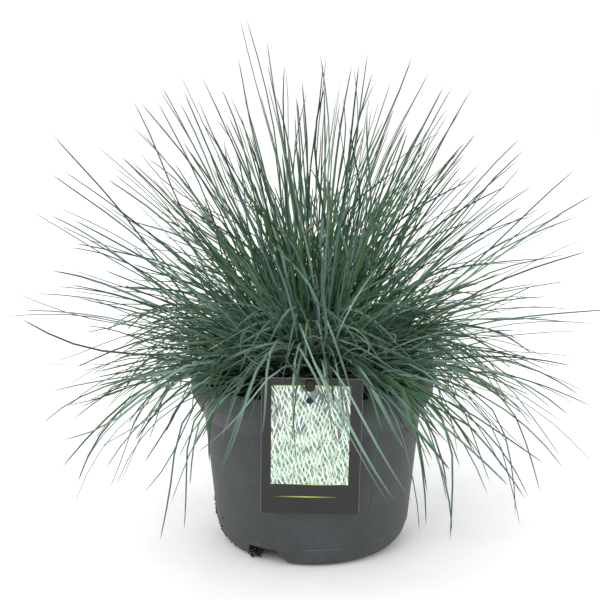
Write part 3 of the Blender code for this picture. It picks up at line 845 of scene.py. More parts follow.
# %% Tuft rule
RINGS = (  # count, degrees down the dome, first azimuth, step, leaf length in mm, bend, leaves
    (1, 1.0, 165.0, 0.0, 244.0, 10.0, 15),
    (6, 20.0, 10.0, 60.0, 226.0, 14.0, 13),
    (10, 36.0, -72.0, 36.0, 218.0, 18.0, 21),
    (11, 51.0, -71.0, 32.7, 222.0, 20.0, 17),
    (8, 65.0, -15.0, 30.0, 196.0, 42.0, 12),
    (9, 72.0, -30.0, 30.0, 186.0, 84.0, 16),
    (2, 72.0, -62.0, 16.0, 180.0, 104.0, 22),
    (2, 72.0, 226.0, 16.0, 180.0, 104.0, 14),
    (2, 66.0, -79.0, -23.0, 112.0, 34.0, 16),
    (1, 50.0, -91.0, 0.0, 134.0, 112.0, 8),
)
TUFT_SEED = 158
AZIMUTH_SPREAD, LEAN_SPREAD = math.radians(2.5), math.radians(2)
LENGTH_SPREAD, BEND_SPREAD = 0.05, 0.3

chance = random.Random(TUFT_SEED)
tufts = []
for count, down, first, step, length, bend, leaves in RINGS:
    for i in range(count):
        azimuth = math.radians(first + step * i) + chance.uniform(-1, 1) * AZIMUTH_SPREAD
        lean = math.radians(down) + chance.uniform(-1, 1) * LEAN_SPREAD
        reach = length * MM * (1 + chance.uniform(-1, 1) * LENGTH_SPREAD)
        droop = math.radians(bend) * (1 + chance.uniform(-1, 1) * BEND_SPREAD)
        tufts.append({"down": lean, "azimuth": azimuth, "length": reach, "bend": droop,
                      "leaves": leaves})
print(len(tufts), "tufts,", sum(tuft["leaves"] for tuft in tufts), "leaves planned")

# %% Places on the crown


def on_crown(down, azimuth, lift=0.0):
    """Points on the crown's dome and the way out of it there, for arrays of angles."""
    way = np.stack([np.sin(down) / CROWN_RADIUS * np.cos(azimuth),
                    np.sin(down) / CROWN_RADIUS * np.sin(azimuth),
                    np.cos(down) / CROWN_HEIGHT], axis=-1)
    way /= np.linalg.norm(way, axis=-1, keepdims=True)
    point = np.stack([CROWN_RADIUS * np.sin(down) * np.cos(azimuth),
                      CROWN_RADIUS * np.sin(down) * np.sin(azimuth),
                      SOIL_LEVEL + CROWN_HEIGHT * np.cos(down)], axis=-1)
    return point + lift * way, way


def onto_dome(points):
    """Moves points straight in or out to the crown's dome, and up out of the soil."""
    out = points - np.array([0, 0, SOIL_LEVEL])
    out[:, 2] = np.maximum(out[:, 2], SOIL_CLEARANCE)
    size = np.linalg.norm(out / (CROWN_RADIUS, CROWN_RADIUS, CROWN_HEIGHT), axis=1)
    return out / size[:, None] + np.array([0, 0, SOIL_LEVEL])


def stance(tuft):
    """The tuft's foot on the crown, its way out, and the two directions across it."""
    foot, way = on_crown(np.array([tuft["down"]]), np.array([tuft["azimuth"]]))
    side = np.cross(way[0], (0, 0, 1))
    side = side / np.linalg.norm(side)
    return foot[0], way[0], side, np.cross(side, way[0])


# %% The numbers that each leaf draws
MOST_KINK = 0.5
SWAY_SPREAD = MOST_WAVE = math.radians(20)
LEAF_WIDTH, WIDTH_LIMITS = (1.62, 0.32), (1.0, 2.5)  # mean and spread, limits; mm
MOST_TURN = math.radians(60)  # round its own length
TONE = 0.57, 0.38  # mean and spread
DRY_SHARE, DRY_LENGTHS = 0.07, (0.03, 0.11)  # few leaves have a dry tip, of this share


def stalks_along(root, way, length, bend):
    """Stalks from their roots and first headings; the rest of their numbers are drawn."""
    count = len(root)
    return {
        "root": root,
        "lean": np.arccos(np.clip(way[:, 2], -1, 1)),
        "azimuth": np.arctan2(way[:, 1], way[:, 0]),
        "length": length,
        "bend": bend,
        "kink": rng.uniform(0, MOST_KINK, count),
        "sway": rng.normal(0, SWAY_SPREAD, count),
        "wave": rng.uniform(0, MOST_WAVE, count),
        "phase": rng.uniform(0, math.tau, count),
        "width": np.clip(rng.normal(*LEAF_WIDTH, count), *WIDTH_LIMITS) * MM,
        "turn": rng.uniform(-1, 1, count) * MOST_TURN,
        "tone": np.clip(rng.normal(*TONE, count), 0, 1),
        "dry": np.where(rng.random(count) < DRY_SHARE, rng.uniform(*DRY_LENGTHS, count), 0.0),
    }


# %% Leaves along the solid's blades
TUFT_WIDTH = 5.2 * MM
BLADE_SPLAY = math.radians(6.5)
BLADE_LENGTHS = (1.0, 0.93, 0.87, 0.8)
BLADE_OFFSET = 0.35  # from the tuft's axis, as a share of its width
FIRM_WAVE = 0.3


def solid_leaves(tuft):
    """Four leaves that follow the four blades of the tuft's solid to their tips."""
    foot, way, side, across = stance(tuft)
    quarters = [(-1, -1), (1, -1), (-1, 1), (1, 1)]
    offsets = np.array([(x * side + y * across) / math.sqrt(2) for x, y in quarters])
    headings = way + offsets * math.tan(BLADE_SPLAY)
    headings /= np.linalg.norm(headings, axis=1, keepdims=True)
    stalks = stalks_along(foot + offsets * TUFT_WIDTH * BLADE_OFFSET, headings,
                          tuft["length"] * np.array(BLADE_LENGTHS), np.full(4, tuft["bend"]))
    for number in ("sway", "kink"):
        stalks[number] *= 0
    stalks["wave"] *= FIRM_WAVE
    return stalks


# %% Leaves in small sheaves
SHEAF_SIZE = 5
SHEAF_SPREAD, LEAF_SPREAD, STRAY_SPREAD = (math.radians(angle) for angle in (13.0, 8.0, 25.0))
MOST_SHEAF_LEAN = 0.45
SHEAF_SWAY, OWN_SWAY = math.radians(27), 0.8
STRAY_SHARE = 0.36
FOOT_SPREAD, ROOT_SPREAD, ROOT_DEPTH = 19.0 * MM, 1.2 * MM, 1.5 * MM
SIDE_TUFTS = math.radians(45), math.radians(69)  # down the dome: these have shorter leaves
SIDE_DROOP = math.radians(15)
LENGTHS = {  # shortest share of the tuft's length, what is added at most, and how few get it
    "top": (0.42, 0.51, 1.9), "side": (0.36, 0.53, 2.5), "low": (0.42, 0.51, 1.4),
}
SHEAF_LENGTHS, LONGEST = (0.84, 1.1), 0.97
SHEAF_BENDS, LEAF_BENDS, BEND_NOISE = (0.4, 1.5), (0.7, 1.3), math.radians(17)
MOST_TURNED = math.radians(160)  # from upright: a leaf droops, but it doesn't hook back inwards
SHEAF_TONE, SHEAF_TONE_SHARE = (0.6, 0.4), 0.3


def sheaf_leaves(tuft, count):
    """Leaves of the tuft that lean off its axis in small sheaves."""
    foot, way, side, across = stance(tuft)
    sheaf = np.arange(count) // SHEAF_SIZE
    sheaves = sheaf.max() + 1
    sheaf_lean = np.clip(rng.normal(0, SHEAF_SPREAD, (sheaves, 2)),
                         -MOST_SHEAF_LEAN, MOST_SHEAF_LEAN)[sheaf]
    sheaf_foot = rng.uniform(-1, 1, (sheaves, 2))[sheaf] * FOOT_SPREAD
    sheaf_bend = rng.uniform(*SHEAF_BENDS, sheaves)[sheaf]
    spread = np.where(rng.random(count) < STRAY_SHARE, STRAY_SPREAD, LEAF_SPREAD)[:, None]
    lean = sheaf_lean + rng.normal(0, 1, (count, 2)) * spread
    headings = way + lean[:, :1] * side + lean[:, 1:] * across
    headings /= np.linalg.norm(headings, axis=1, keepdims=True)
    roots = foot + (sheaf_foot + rng.normal(0, ROOT_SPREAD, (count, 2))) @ np.stack([side, across])
    roots = onto_dome(roots) - way * ROOT_DEPTH
    kind = "top" if tuft["down"] < SIDE_TUFTS[0] else "low"
    luck = rng.random(count)
    if SIDE_TUFTS[0] < tuft["down"] < SIDE_TUFTS[1]:
        kind = "side"
        luck = rng.random(count)  # side tufts draw a second time
    least, more, few = LENGTHS[kind]
    share = least + more * luck ** few
    share = np.minimum(share * rng.uniform(*SHEAF_LENGTHS, sheaves)[sheaf], LONGEST)
    bend = (tuft["bend"] * sheaf_bend * rng.uniform(*LEAF_BENDS, count)
            + rng.normal(0, BEND_NOISE, count))
    if kind == "side":
        bend = bend + SIDE_DROOP
    stalks = stalks_along(roots, headings, tuft["length"] * share, bend)
    stalks["sway"] = OWN_SWAY * stalks["sway"] + rng.normal(0, SHEAF_SWAY, sheaves)[sheaf]
    stalks["bend"] = np.minimum(stalks["bend"], MOST_TURNED - stalks["lean"])
    sheaf_tone = rng.normal(*SHEAF_TONE, sheaves)[sheaf]
    stalks["tone"] = np.clip((1 - SHEAF_TONE_SHARE) * stalks["tone"]
                             + SHEAF_TONE_SHARE * sheaf_tone, 0, 1)
    return stalks


# %% Draw the tufts' leaves
SPARE = 4  # so many leaves are drawn for each that is wanted, because some are blocked

for tuft in tufts:
    firm = solid_leaves(tuft)
    firm = keep_only(firm, is_clear(firm, over_label=True))
    drawn = sheaf_leaves(tuft, SPARE * tuft["leaves"])
    clear = np.flatnonzero(is_clear(drawn))[:max(0, tuft["leaves"] - len(firm["lean"]))]
    tuft["stalks"] = joined(firm, keep_only(drawn, clear))
print(sum(len(tuft["stalks"]["lean"]) for tuft in tufts), "leaves drawn")

# %% [markdown]
# ## Crossing leaves
#
# Not every leaf follows its tuft. Some set off sideways, low over the crown, and cross the rest:
# short ones that tangle in front of the base, and long ones that sweep over the rim.

# %% Crossing leaves
# the last column shifts each group's tones; the large shift for the low tangle in front of the base
# is painted light
CROSSING = (  # count; ranges: degrees down the dome, aside, lean, length in mm, bend; tone
    (310, (18, 74), (30, 92), (50, 90), (55, 145), (0, 75), 0.42),
    (140, (50, 76), (12, 75), (66, 92), (110, 195), (16, 68), 0.1),
    (110, (4, 48), (20, 140), (5, 40), (120, 215), (-26, 42), -0.06),
    (110, (30, 68), (5, 60), (26, 64), (80, 145), (-16, 40), 0.0),
)


def crossing_leaves(count, down, aside, lean, length, bend, painted_light_shift):
    """Leaves that set off sideways from all round the dome."""
    azimuth = rng.uniform(0, math.tau, count)
    root, _ = on_crown(np.radians(rng.uniform(*down, count)), azimuth, lift=-ROOT_DEPTH)
    azimuth = azimuth + np.radians(rng.uniform(*aside, count)) * rng.choice((-1, 1), count)
    lean = np.radians(rng.uniform(*lean, count))
    way = np.stack([np.sin(lean) * np.cos(azimuth), np.sin(lean) * np.sin(azimuth),
                    np.cos(lean)], axis=-1)
    stalks = stalks_along(root, way, rng.uniform(*length, count) * MM,
                          np.radians(rng.uniform(*bend, count)))
    # painted light: the tones are shifted paler for the groups that stand in the light
    stalks["tone"] = np.clip(stalks["tone"] + painted_light_shift, 0, 1)
    return keep_only(stalks, is_clear(stalks))


def share_out(stalks):
    """Gives each leaf to the tuft that grows nearest to its root."""
    homes = np.array([stance(tuft)[0] for tuft in tufts])
    nearest = np.linalg.norm(stalks["root"][:, None] - homes[None], axis=2).argmin(axis=1)
    for number in set(nearest.tolist()):
        tufts[number]["stalks"] = joined(tufts[number]["stalks"],
                                         keep_only(stalks, nearest == number))


for group in CROSSING:
    crossing = crossing_leaves(*group)
    share_out(crossing)
    print(len(crossing["lean"]), "crossing leaves")

# %% [markdown]
# ## Leaves placed one by one
#
# A clump is known by its outline: the few leaves that stand out of it, hook over or cross the rest.
# Those are placed one by one, from where the photograph shows their tips, and each goes into the
# tuft that grows nearest to it. A photograph doesn't say how far away a tip is, so that is chosen:
# near the plant's axis for tips in the fan, nearer the camera for tips that hang low, and a stated
# distance in front for the leaves that hang over the rim and the label or curl above it.

# %% Tips of the placed leaves
LONE_TIPS = (  # tip: pixels across and down; bend
    (246, 17, 4), (238, 57, 12), (267, 62, 3), (285, 65, 10), (302, 80, 25), (313, 50, 6),
    (311, 62, 14), (326, 55, -6), (221, 88, 8), (214, 101, 14), (197, 97, 6), (161, 85, 10),
    (160, 91, 4), (158, 102, -12), (180, 103, 8), (141, 103, 12), (133, 101, 4), (132, 126, 18),
    (130, 166, 6), (267, 81, 10), (297, 99, 5), (336, 100, 12), (352, 65, 6), (368, 52, 8),
    (359, 64, -4), (373, 71, 12), (376, 81, 18), (391, 81, 8), (370, 94, -8), (412, 56, 5),
    (412, 103, 14), (429, 72, 10), (444, 86, 8), (472, 89, 6), (425, 122, 22), (439, 113, 12),
    (442, 145, 20), (448, 163, 30), (463, 159, 15), (481, 163, 8), (463, 174, 25), (498, 172, 12),
    (53, 135, -16), (50, 173, 4), (57, 207, 25), (73, 243, 45), (51, 271, 35), (15, 293, 20),
    (20, 318, -18), (42, 365, 12), (63, 406, 25), (61, 469, 50), (109, 490, 60), (160, 541, 70),
    (184, 530, 75), (522, 165, 8), (578, 167, 5), (557, 207, 10), (564, 220, 15), (587, 236, -12),
    (588, 251, 12), (568, 254, 20), (580, 332, 45), (578, 358, 50), (572, 366, 30), (566, 425, 55),
    (561, 458, 60), (528, 453, 55), (515, 517, 70), (520, 527, 75), (450, 541, 85), (426, 526, 90),
    (490, 483, 62), (427, 493, 80), (460, 467, 66), (447, 503, 78), (503, 470, 58), (540, 492, 64),
)
FRONT_TIPS = (  # tip: pixels, mm in front; root: azimuth, down; bend, kink, sway
    (296, 462, 108, -92, 28, 98, 0.4, 0), (395, 501, 165, -84, 38, 72, 0.25, 44),
    (392, 509, 160, -88, 34, 76, 0.25, 42), (382, 432, 106, -66, 36, 80, 0.35, 0),
    (409, 404, 100, -60, 40, 62, 0.25, 20), (220, 473, 104, -112, 36, 88, 0.35, -24),
    (220, 446, 100, -118, 34, 80, 0.35, 0), (281, 386, 104, -98, 30, 92, 0.4, 0),
    (227, 414, 96, -114, 40, 84, 0.3, 0), (238, 415, 98, -108, 44, 84, 0.3, 0),
    (405, 451, 108, -62, 42, 74, 0.25, 24), (237, 326, 74, -94, 30, 112, 0.05, 0),
    (375, 351, 88, -88, 30, 112, 0.15, 0), (363, 375, 92, -84, 34, 92, 0.1, 0),
    (388, 340, 80, -62, 44, 120, 0.3, 0), (210, 354, 84, -70, 40, 40, 0.05, 0),
    (344, 412, 108, -80, 34, 92, 0.4, 0), (262, 436, 108, -104, 34, 90, 0.4, 0),
    (205, 430, 92, -128, 46, 76, 0.2, 0), (430, 470, 100, -52, 50, 76, 0.2, 0),
    (440, 436, 88, -44, 54, 62, 0.15, 0), (190, 486, 90, -130, 50, 84, 0.2, 0),
    (352, 396, 106, -74, 40, 86, 0.35, 0), (330, 398, 108, -86, 32, 96, 0.4, 0),
    (412, 502, 150, -80, 42, 70, 0.25, 36), (403, 449, 112, -74, 44, 66, 0.2, 26),
    (362, 342, 78, -96, 44, 118, 0.1, 20), (349, 352, 82, -104, 46, 112, 0.05, 24),
    (338, 346, 84, -100, 52, 104, 0.15, 30), (372, 333, 66, -82, 40, 98, 0.1, 10),
    (262, 352, 80, -80, 48, 110, 0.1, -22), (246, 343, 74, -86, 46, 108, 0.05, -16),
    (228, 341, 70, -98, 44, 96, 0.1, -10), (270, 336, 82, -76, 40, 116, 0.1, -26),
    (328, 333, 76, -112, 36, 120, 0.05, 28), (290, 350, 88, -70, 50, 100, 0.1, -24),
    (286, 322, 70, -84, 28, 128, 0.05, -10), (318, 352, 90, -110, 48, 106, 0.05, 26),
    (214, 372, 92, -72, 52, 96, 0.1, -34), (224, 361, 96, -80, 54, 92, 0.1, -30),
    (236, 381, 98, -76, 56, 98, 0.1, -30), (208, 350, 88, -68, 50, 88, 0.1, -36),
    (247, 368, 100, -84, 58, 100, 0.1, -26), (231, 350, 84, -70, 46, 100, 0.1, -34),
    (398, 373, 94, -108, 52, 96, 0.1, 34), (410, 360, 90, -102, 52, 90, 0.1, 36),
    (386, 386, 100, -104, 56, 98, 0.1, 30), (396, 348, 84, -112, 48, 96, 0.1, 36),
    (372, 366, 98, -98, 56, 102, 0.1, 26), (404, 383, 96, -106, 54, 94, 0.1, 32),
    (228, 338, 108, -100, 36, 118, 0.1, -14), (248, 356, 112, -95, 38, 122, 0.1, -12),
    (268, 346, 114, -92, 34, 128, 0.1, -10), (286, 360, 116, -96, 36, 124, 0.1, -8),
    (306, 366, 112, -88, 34, 126, 0.1, 6), (324, 356, 116, -90, 38, 120, 0.1, 8),
    (342, 362, 114, -84, 36, 124, 0.1, 10), (360, 350, 110, -88, 34, 122, 0.1, 14),
    (380, 360, 108, -80, 38, 118, 0.1, 16), (398, 344, 104, -78, 36, 116, 0.1, 18),
)

# %% Leaves to given tips
PLACED_DEPTH, PLACED_WAVE = 2.0 * MM, 0.6
SWAY_LEFT, CALMED, CALMEST = 0.5, 0.3, 1.5  # the more a leaf bends, the less it sways


def dome_angle(lean):
    """How far down the dome its surface faces this far from the vertical."""
    return np.arctan(np.tan(lean) * CROWN_RADIUS / CROWN_HEIGHT)


def placed_leaves(tips, down, azimuth, bend, kink, sway=0.0):
    """Leaves rooted on the dome at these angles that end at these tips."""
    root, way = on_crown(down, azimuth, lift=-PLACED_DEPTH)
    stalks = stalks_along(root, way, np.linalg.norm(tips - root, axis=1), bend)
    stalks["kink"] = kink
    calmer = SWAY_LEFT - CALMED * np.minimum(bend, CALMEST)
    stalks["sway"] = stalks["sway"] * calmer + sway
    stalks["wave"] *= PLACED_WAVE
    return aim(stalks, tips)


# %% Leaves at the outline
FAN_DEPTH, FAN_GROWTH = 30.0 * MM, 0.3  # how far from the axis its tips are, and more each time
FAN_STRAY = 0.7  # radians between where a leaf is rooted and its tip
HANGING = 58  # a leaf with more degrees of bend hangs over the rim
HANG_REACH = 152.0 * MM, 180.0 * MM  # its tip is this far from the axis
HANG_DEPTH = 45.0 * MM  # and at least this far in front
HANG_BEND, HANG_KINK = 0.3, 0.4  # it goes up over the rim first, and then turns down suddenly
FAN_KINK = 0.4
BEND_STEP, MOST_STEPS = 3, 4  # degrees of bend tried at each attempt
LEAN_LIMITS = math.radians(3), math.radians(84)


def plan_lone(wanted, attempt):
    """Leaves to these lone tips, from the part of the dome that faces their first heading."""
    count = len(wanted)
    hangs = np.array([tip[2] > HANGING for tip in wanted])
    aside = np.array([seen_at(*tip[:2], 0.0).x for tip in wanted])
    reach = rng.uniform(*HANG_REACH, count)
    in_front = np.sqrt(np.maximum(reach ** 2 - aside ** 2, HANG_DEPTH ** 2))
    near_axis = rng.uniform(-1, 1, count) * FAN_DEPTH * (1 + FAN_GROWTH * attempt)
    depths = np.where(hangs, in_front, near_axis)
    tips = np.array([seen_at(*tip[:2], depth) for tip, depth in zip(wanted, depths)])
    bend = np.radians([tip[2] + rng.normal(0, BEND_STEP) * min(attempt, MOST_STEPS)
                       for tip in wanted])
    bend = bend + hangs * HANG_BEND
    chord = tips - np.array([0.0, 0.0, SOIL_LEVEL])
    lean = np.arctan2(np.hypot(chord[:, 0], chord[:, 1]), chord[:, 2]) - bend / 2
    down = dome_angle(np.clip(lean, *LEAN_LIMITS))
    azimuth = np.arctan2(chord[:, 1], chord[:, 0]) + rng.normal(0, FAN_STRAY, count) * ~hangs
    kink = rng.uniform(0, FAN_KINK, count) + HANG_KINK * hangs
    return placed_leaves(tips, down, azimuth, bend, kink)


# %% Leaves in front
FURTHER_OUT, BEND_NUDGE = 3, 0.04  # mm and radians, at each attempt
# painted light: the leaves in front get only the palest tones, standing in for the light that falls
# on them
FRONT_PAINTED_LIGHT_TONE, FRONT_WIDTH = (0.84, 0.16), 1.3  # they are in the light, and near


def plan_front(wanted, attempt):
    """Leaves to these tips in front, a little further out at each attempt."""
    tips = np.array([seen_at(*tip[:2], (tip[2] + FURTHER_OUT * attempt) * MM) for tip in wanted])
    azimuth, down, bend = np.radians([tip[3:6] for tip in wanted]).T
    bend = bend + rng.normal(0, BEND_NUDGE, len(wanted)) * attempt
    stalks = placed_leaves(tips, down, azimuth, bend, np.array([tip[6] for tip in wanted]),
                           np.radians([tip[7] for tip in wanted]))
    # painted light: palest tones for the leaves in the light
    stalks["tone"] = FRONT_PAINTED_LIGHT_TONE[0] + FRONT_PAINTED_LIGHT_TONE[1] * stalks["tone"]
    stalks["width"] *= FRONT_WIDTH
    return stalks


# %% Place them
TRIES, MOST_CHANGED = 40, 10  # the plan changes with each attempt up to the tenth


def settle(plan, wanted, over_label=False):
    """Plans the leaves, and again those that aren't clear; returns the clear ones."""
    kept = []
    for attempt in range(TRIES):
        stalks = plan(wanted, min(attempt, MOST_CHANGED))
        clear = is_clear(stalks, over_label)
        kept.append(keep_only(stalks, clear))
        wanted = [tip for tip, free in zip(wanted, clear) if not free]
        if not wanted:
            break
    print("placed", sum(len(stalks["lean"]) for stalks in kept), "leaves; left out:",
          [tip[:2] for tip in wanted])
    return joined(*kept)


share_out(settle(plan_lone, LONE_TIPS))
share_out(settle(plan_front, FRONT_TIPS, over_label=True))

# %% Grow the tufts
for number, tuft in enumerate(tufts, start=1):
    grow(f"tuft_{number:02d}_leaves", leaf_form, tuft["stalks"], waxed_leaf, "leaf",
         f"tuft_{number:02d}")
print(sum(len(tuft["stalks"]["lean"]) for tuft in tufts), "leaves on", len(tufts), "tufts")

# %% [markdown]
# ## Dead leaf bases, old leaves and roots
#
# Under the living leaves the crown bristles with the bases of earlier ones, and old leaves lie
# over the soil to the rim, nearly black where they are wet and tan where they have dried. The pot
# has stood outdoors, too: roots have grown out of it through a notch.

# %% Dead material and dead leaf bases
BASE_COUNT = 330
BASE_FLATTEST = 0.12  # cosine of the way down the dome to the lowest base
BASE_LENGTHS, BASE_WIDTHS, BASE_BEND = (7, 15), (1.6, 2.6), 0.2
SET_IN = 1.0 * MM  # how deep the bases and old leaves are rooted


def with_numbers(stalks, **numbers):
    """The same stalks with some of their numbers replaced."""
    count = len(stalks["lean"])
    return {**stalks, **{name: np.broadcast_to(values, count) for name, values in numbers.items()}}


def dead_material(name, dark, middle, pale):
    """Dead leaf and root: the colour goes with the tone, and a fine noise breaks it up."""
    made, tree, shader = new_material(name, 0.85, 1.45)
    tone = add_node(tree, "Attribute", attribute_name="tone").outputs["Fac"]
    place = add_node(tree, "TexCoord").outputs["Object"]
    rot = add_node(tree, "TexNoise", {"Vector": place, "Scale": 1 / (4 * MM)})
    mixed = add_node(tree, "Math", [rot, 0.4, tone], operation="MULTIPLY_ADD")
    colour = add_node(tree, "ValToRGB", [mixed], stops=[(0.2, dark), (1.1, pale), (0.75, middle)])
    set_inputs(shader, {"Base Color": colour})
    return made


angles = np.arccos(rng.uniform(BASE_FLATTEST, 1, BASE_COUNT)), rng.uniform(0, math.tau, BASE_COUNT)
root, way = on_crown(*angles, lift=-SET_IN)
bases = with_numbers(stalks_along(root, way, rng.uniform(*BASE_LENGTHS, BASE_COUNT) * MM,
                                  rng.normal(0, BASE_BEND, BASE_COUNT)),
                     width=rng.uniform(*BASE_WIDTHS, BASE_COUNT) * MM, dry=0.0,
                     tone=rng.random(BASE_COUNT) ** 2)
bases = keep_only(bases, is_clear(bases))
base_husk = dead_material("dry leaf sheath", "#20241a", "#4a4a33", "#8d7f5c")
grow("old_leaf_bases", sheath_form, bases, base_husk, "leaf_bases")
print(len(bases["lean"]), "leaf bases")

# %% Old leaves
OLD_LEAF_COUNT = 260
OLD_DOWN, OLD_BEND, OLD_SWAY = (58, 86), (-6, 34), 0.8  # degrees, degrees, radians
OLD_LENGTHS, OLD_WIDTHS = (34, 84), (0.9, 1.7)
FEW_PALE = 6  # the power that leaves most of them dark

angles = (np.radians(rng.uniform(*OLD_DOWN, OLD_LEAF_COUNT)),
          rng.uniform(0, math.tau, OLD_LEAF_COUNT))
root, way = on_crown(*angles, lift=-SET_IN)
old = with_numbers(stalks_along(root, way, rng.uniform(*OLD_LENGTHS, OLD_LEAF_COUNT) * MM,
                                np.radians(rng.uniform(*OLD_BEND, OLD_LEAF_COUNT))),
                   sway=rng.normal(0, OLD_SWAY, OLD_LEAF_COUNT), kink=rng.random(OLD_LEAF_COUNT),
                   width=rng.uniform(*OLD_WIDTHS, OLD_LEAF_COUNT) * MM, dry=0.0,
                   tone=rng.random(OLD_LEAF_COUNT) ** FEW_PALE)
old = keep_only(old, is_clear(old))
old_leaf = dead_material("rotting grass leaf", "#121711", "#2b2f1f", "#a2875a")
grow("old_leaves", leaf_form, old, old_leaf, "leaf")
print(len(old["lean"]), "old leaves")

# %% [markdown]
# ## Crumbs
#
# Soil lies loose on the top of the pot and sticks to its wet foot. One crumb is modelled, from the
# coarsest ball, squashed and knocked out of round. It has only twenty faces, because it is laid
# down some hundreds of times, turned and sized by chance.

# %% Model the crumb
start_piece()
bpy.ops.mesh.primitive_ico_sphere_add(subdivisions=1, radius=1.0)
crumb = edit_all()
crumb.name = "crumb"
bpy.ops.transform.resize(value=(1.1, 0.85, 0.7), center_override=(0, 0, 0))
bpy.ops.transform.vertex_random(offset=0.28, uniform=0.7, seed=7)
bpy.ops.object.mode_set(mode="OBJECT")
crumb_form = take_form(crumb)


def scatter(name, places, sizes, finish, slot):
    """One piece of crumbs at these places, each of its own size and turned by chance."""
    turns = np.array([Euler(turn).to_matrix()
                      for turn in rng.uniform(0, math.tau, (len(places), 3))])
    copies = places[:, None] + sizes[:, None, None] * (crumb_form["points"] @ turns)
    add_copies(name, crumb_form, copies, finish, slot)
    print(f"{name}: {len(places)} crumbs")


def out_at(radius, azimuth, height):
    """Points at these radii, azimuths and heights."""
    return np.stack([radius * np.cos(azimuth), radius * np.sin(azimuth), height], axis=-1)


# %% Crumbs on the soil
SOIL_CRUMBS, SOIL_CRUMB_SIZES = 420, (0.8, 2.4)
REACH_SHARES = (CROWN_RADIUS / RIM_RADIUS) ** 2, 0.94  # squared, from the crown to the rim

reach = np.sqrt(rng.uniform(*REACH_SHARES, SOIL_CRUMBS)) * RIM_RADIUS
around = rng.uniform(0, math.tau, SOIL_CRUMBS)
places = []
for x, y in zip(reach * np.cos(around), reach * np.sin(around)):
    hit, point, _, _ = soil.ray_cast(Vector((x, y, POT_HEIGHT)), Vector((0, 0, -1)))
    if hit:
        places.append(point)
scatter("soil_crumbs", np.array(places), rng.uniform(*SOIL_CRUMB_SIZES, len(places)) * MM,
        peat, "soil")

# %% Crumbs on the wall's foot and in the notch
WALL_CRUMBS, NOTCH_CRUMBS, SMALL_CRUMB_SIZES = 150, 90, (0.35, 1.0)
HIGHEST_CRUMB, LOWEST_CRUMB, LOW_BAND = 33 * MM, 1.2 * MM, 3.5 * MM
FEW_HIGH = 2.2  # the power that keeps most of them low
STICK_OUT = 0.2 * MM
DIRTY_SIDE, FOOT_SIDE = (186, 11), (165, 230)  # azimuths in degrees: mean and spread; range
NOTCH_LEFT = math.radians(229)  # azimuth of the left half of the notch in front
HEAP_SPREAD, HEAP_RADII = 0.045, (60.5, 69.5)  # radians, mm
HEAP_FOOT, HEAP_HEIGHT, HEAP_SLOPE = 1.0, 5.5, 1.5  # mm, mm, power

low_down = rng.random(WALL_CRUMBS) ** FEW_HIGH * HIGHEST_CRUMB + LOWEST_CRUMB
around = np.where(low_down > LOW_BAND, rng.normal(*DIRTY_SIDE, WALL_CRUMBS),
                  rng.uniform(*FOOT_SIDE, WALL_CRUMBS))
wall_radius = np.interp(low_down, wall_heights, wall_radii) + STICK_OUT
on_foot = out_at(wall_radius, np.radians(around), low_down)
heap_azimuth = NOTCH_LEFT + rng.normal(0, HEAP_SPREAD, NOTCH_CRUMBS)
heap_radius = rng.uniform(*HEAP_RADII, NOTCH_CRUMBS) * MM
heap_height = (HEAP_FOOT + HEAP_HEIGHT * rng.random(NOTCH_CRUMBS) ** HEAP_SLOPE) * MM
heap = out_at(heap_radius, heap_azimuth, heap_height)
scatter("root_crumbs", np.concatenate([on_foot, heap]),
        rng.uniform(*SMALL_CRUMB_SIZES, WALL_CRUMBS + NOTCH_CRUMBS) * MM, peat, "soil")

# %% Root hairs
HAIR_COUNT, HEAP_SHARE = 26, 0.6
HAIR_LENGTHS, HAIR_WIDTHS, HAIR_BEND = (3, 8), (0.3, 0.5), (-0.2, 0.5)
HAIR_STRAY, HAIR_SWAY, HAIR_RISE = 0.7, 1.0, 0.3

from_heap = rng.random(HAIR_COUNT) < HEAP_SHARE
lowest = on_foot[np.argsort(low_down)[:HAIR_COUNT]]
root = np.where(from_heap[:, None], heap[:HAIR_COUNT], lowest)
outwards = np.arctan2(root[:, 1], root[:, 0]) + rng.normal(0, HAIR_STRAY, HAIR_COUNT)
way = out_at(1.0, outwards, HAIR_RISE + 0 * outwards)
way /= np.linalg.norm(way, axis=1, keepdims=True)
hairs = with_numbers(stalks_along(root, way, rng.uniform(*HAIR_LENGTHS, HAIR_COUNT) * MM,
                                  rng.uniform(*HAIR_BEND, HAIR_COUNT)),
                     width=rng.uniform(*HAIR_WIDTHS, HAIR_COUNT) * MM, dry=0.0,
                     sway=rng.normal(0, HAIR_SWAY, HAIR_COUNT), tone=rng.random(HAIR_COUNT))
root_hair = dead_material("grass root", "#6d5c4a", "#a8917a", "#d8c8b4")
grow("root_hairs", hair_form, hairs, root_hair, "leaf_bases")

# %% [markdown]
# ## Picture label
#
# A nursery label is a card of printed plastic with rounded corners, hung by a slot on a clip. The
# card starts as a plane. Its corners are rounded by bevelling its vertices, it gets its thickness
# by extruding, and the slot and the eye are cut through it. The print is generic: a block-print
# pattern of lens-shaped leaves in mint and white on grey-violet, between thin lime rules. The ink
# lies flat on smooth plastic, so dark and pale print have the same soft sheen.

# %% Label card
SLOT_WIDTH, SLOT_HEIGHT, SLOT_CENTRE = 7.2 * MM, 9.6 * MM, 48.8 * MM
EYE_RADIUS, EYE_CENTRE = 2.5 * MM, 37.0 * MM
STUD_SIDE = -1.5 * MM  # slot and eye are a little to the left of the card's middle
CARD_CORNER, CARD_EDGE, CUTTER_DEPTH = 2.5 * MM, 0.12 * MM, 5 * MM


def add_oval(width, height, depth, sides, place=(0, 0, 0)):
    """A cylinder through the card, stretched to an oval of this size; it's left in edit mode."""
    start_piece()
    bpy.ops.mesh.primitive_cylinder_add(vertices=sides, radius=width / 2, depth=depth,
                                        location=place)
    oval = edit_all()
    for end in (1, -1):
        pick(lambda vert: vert.co.y * end > -0.01 * MM, "VERT")
        bpy.ops.transform.translate(value=(0, end * (height - width) / 2, 0))
    return oval


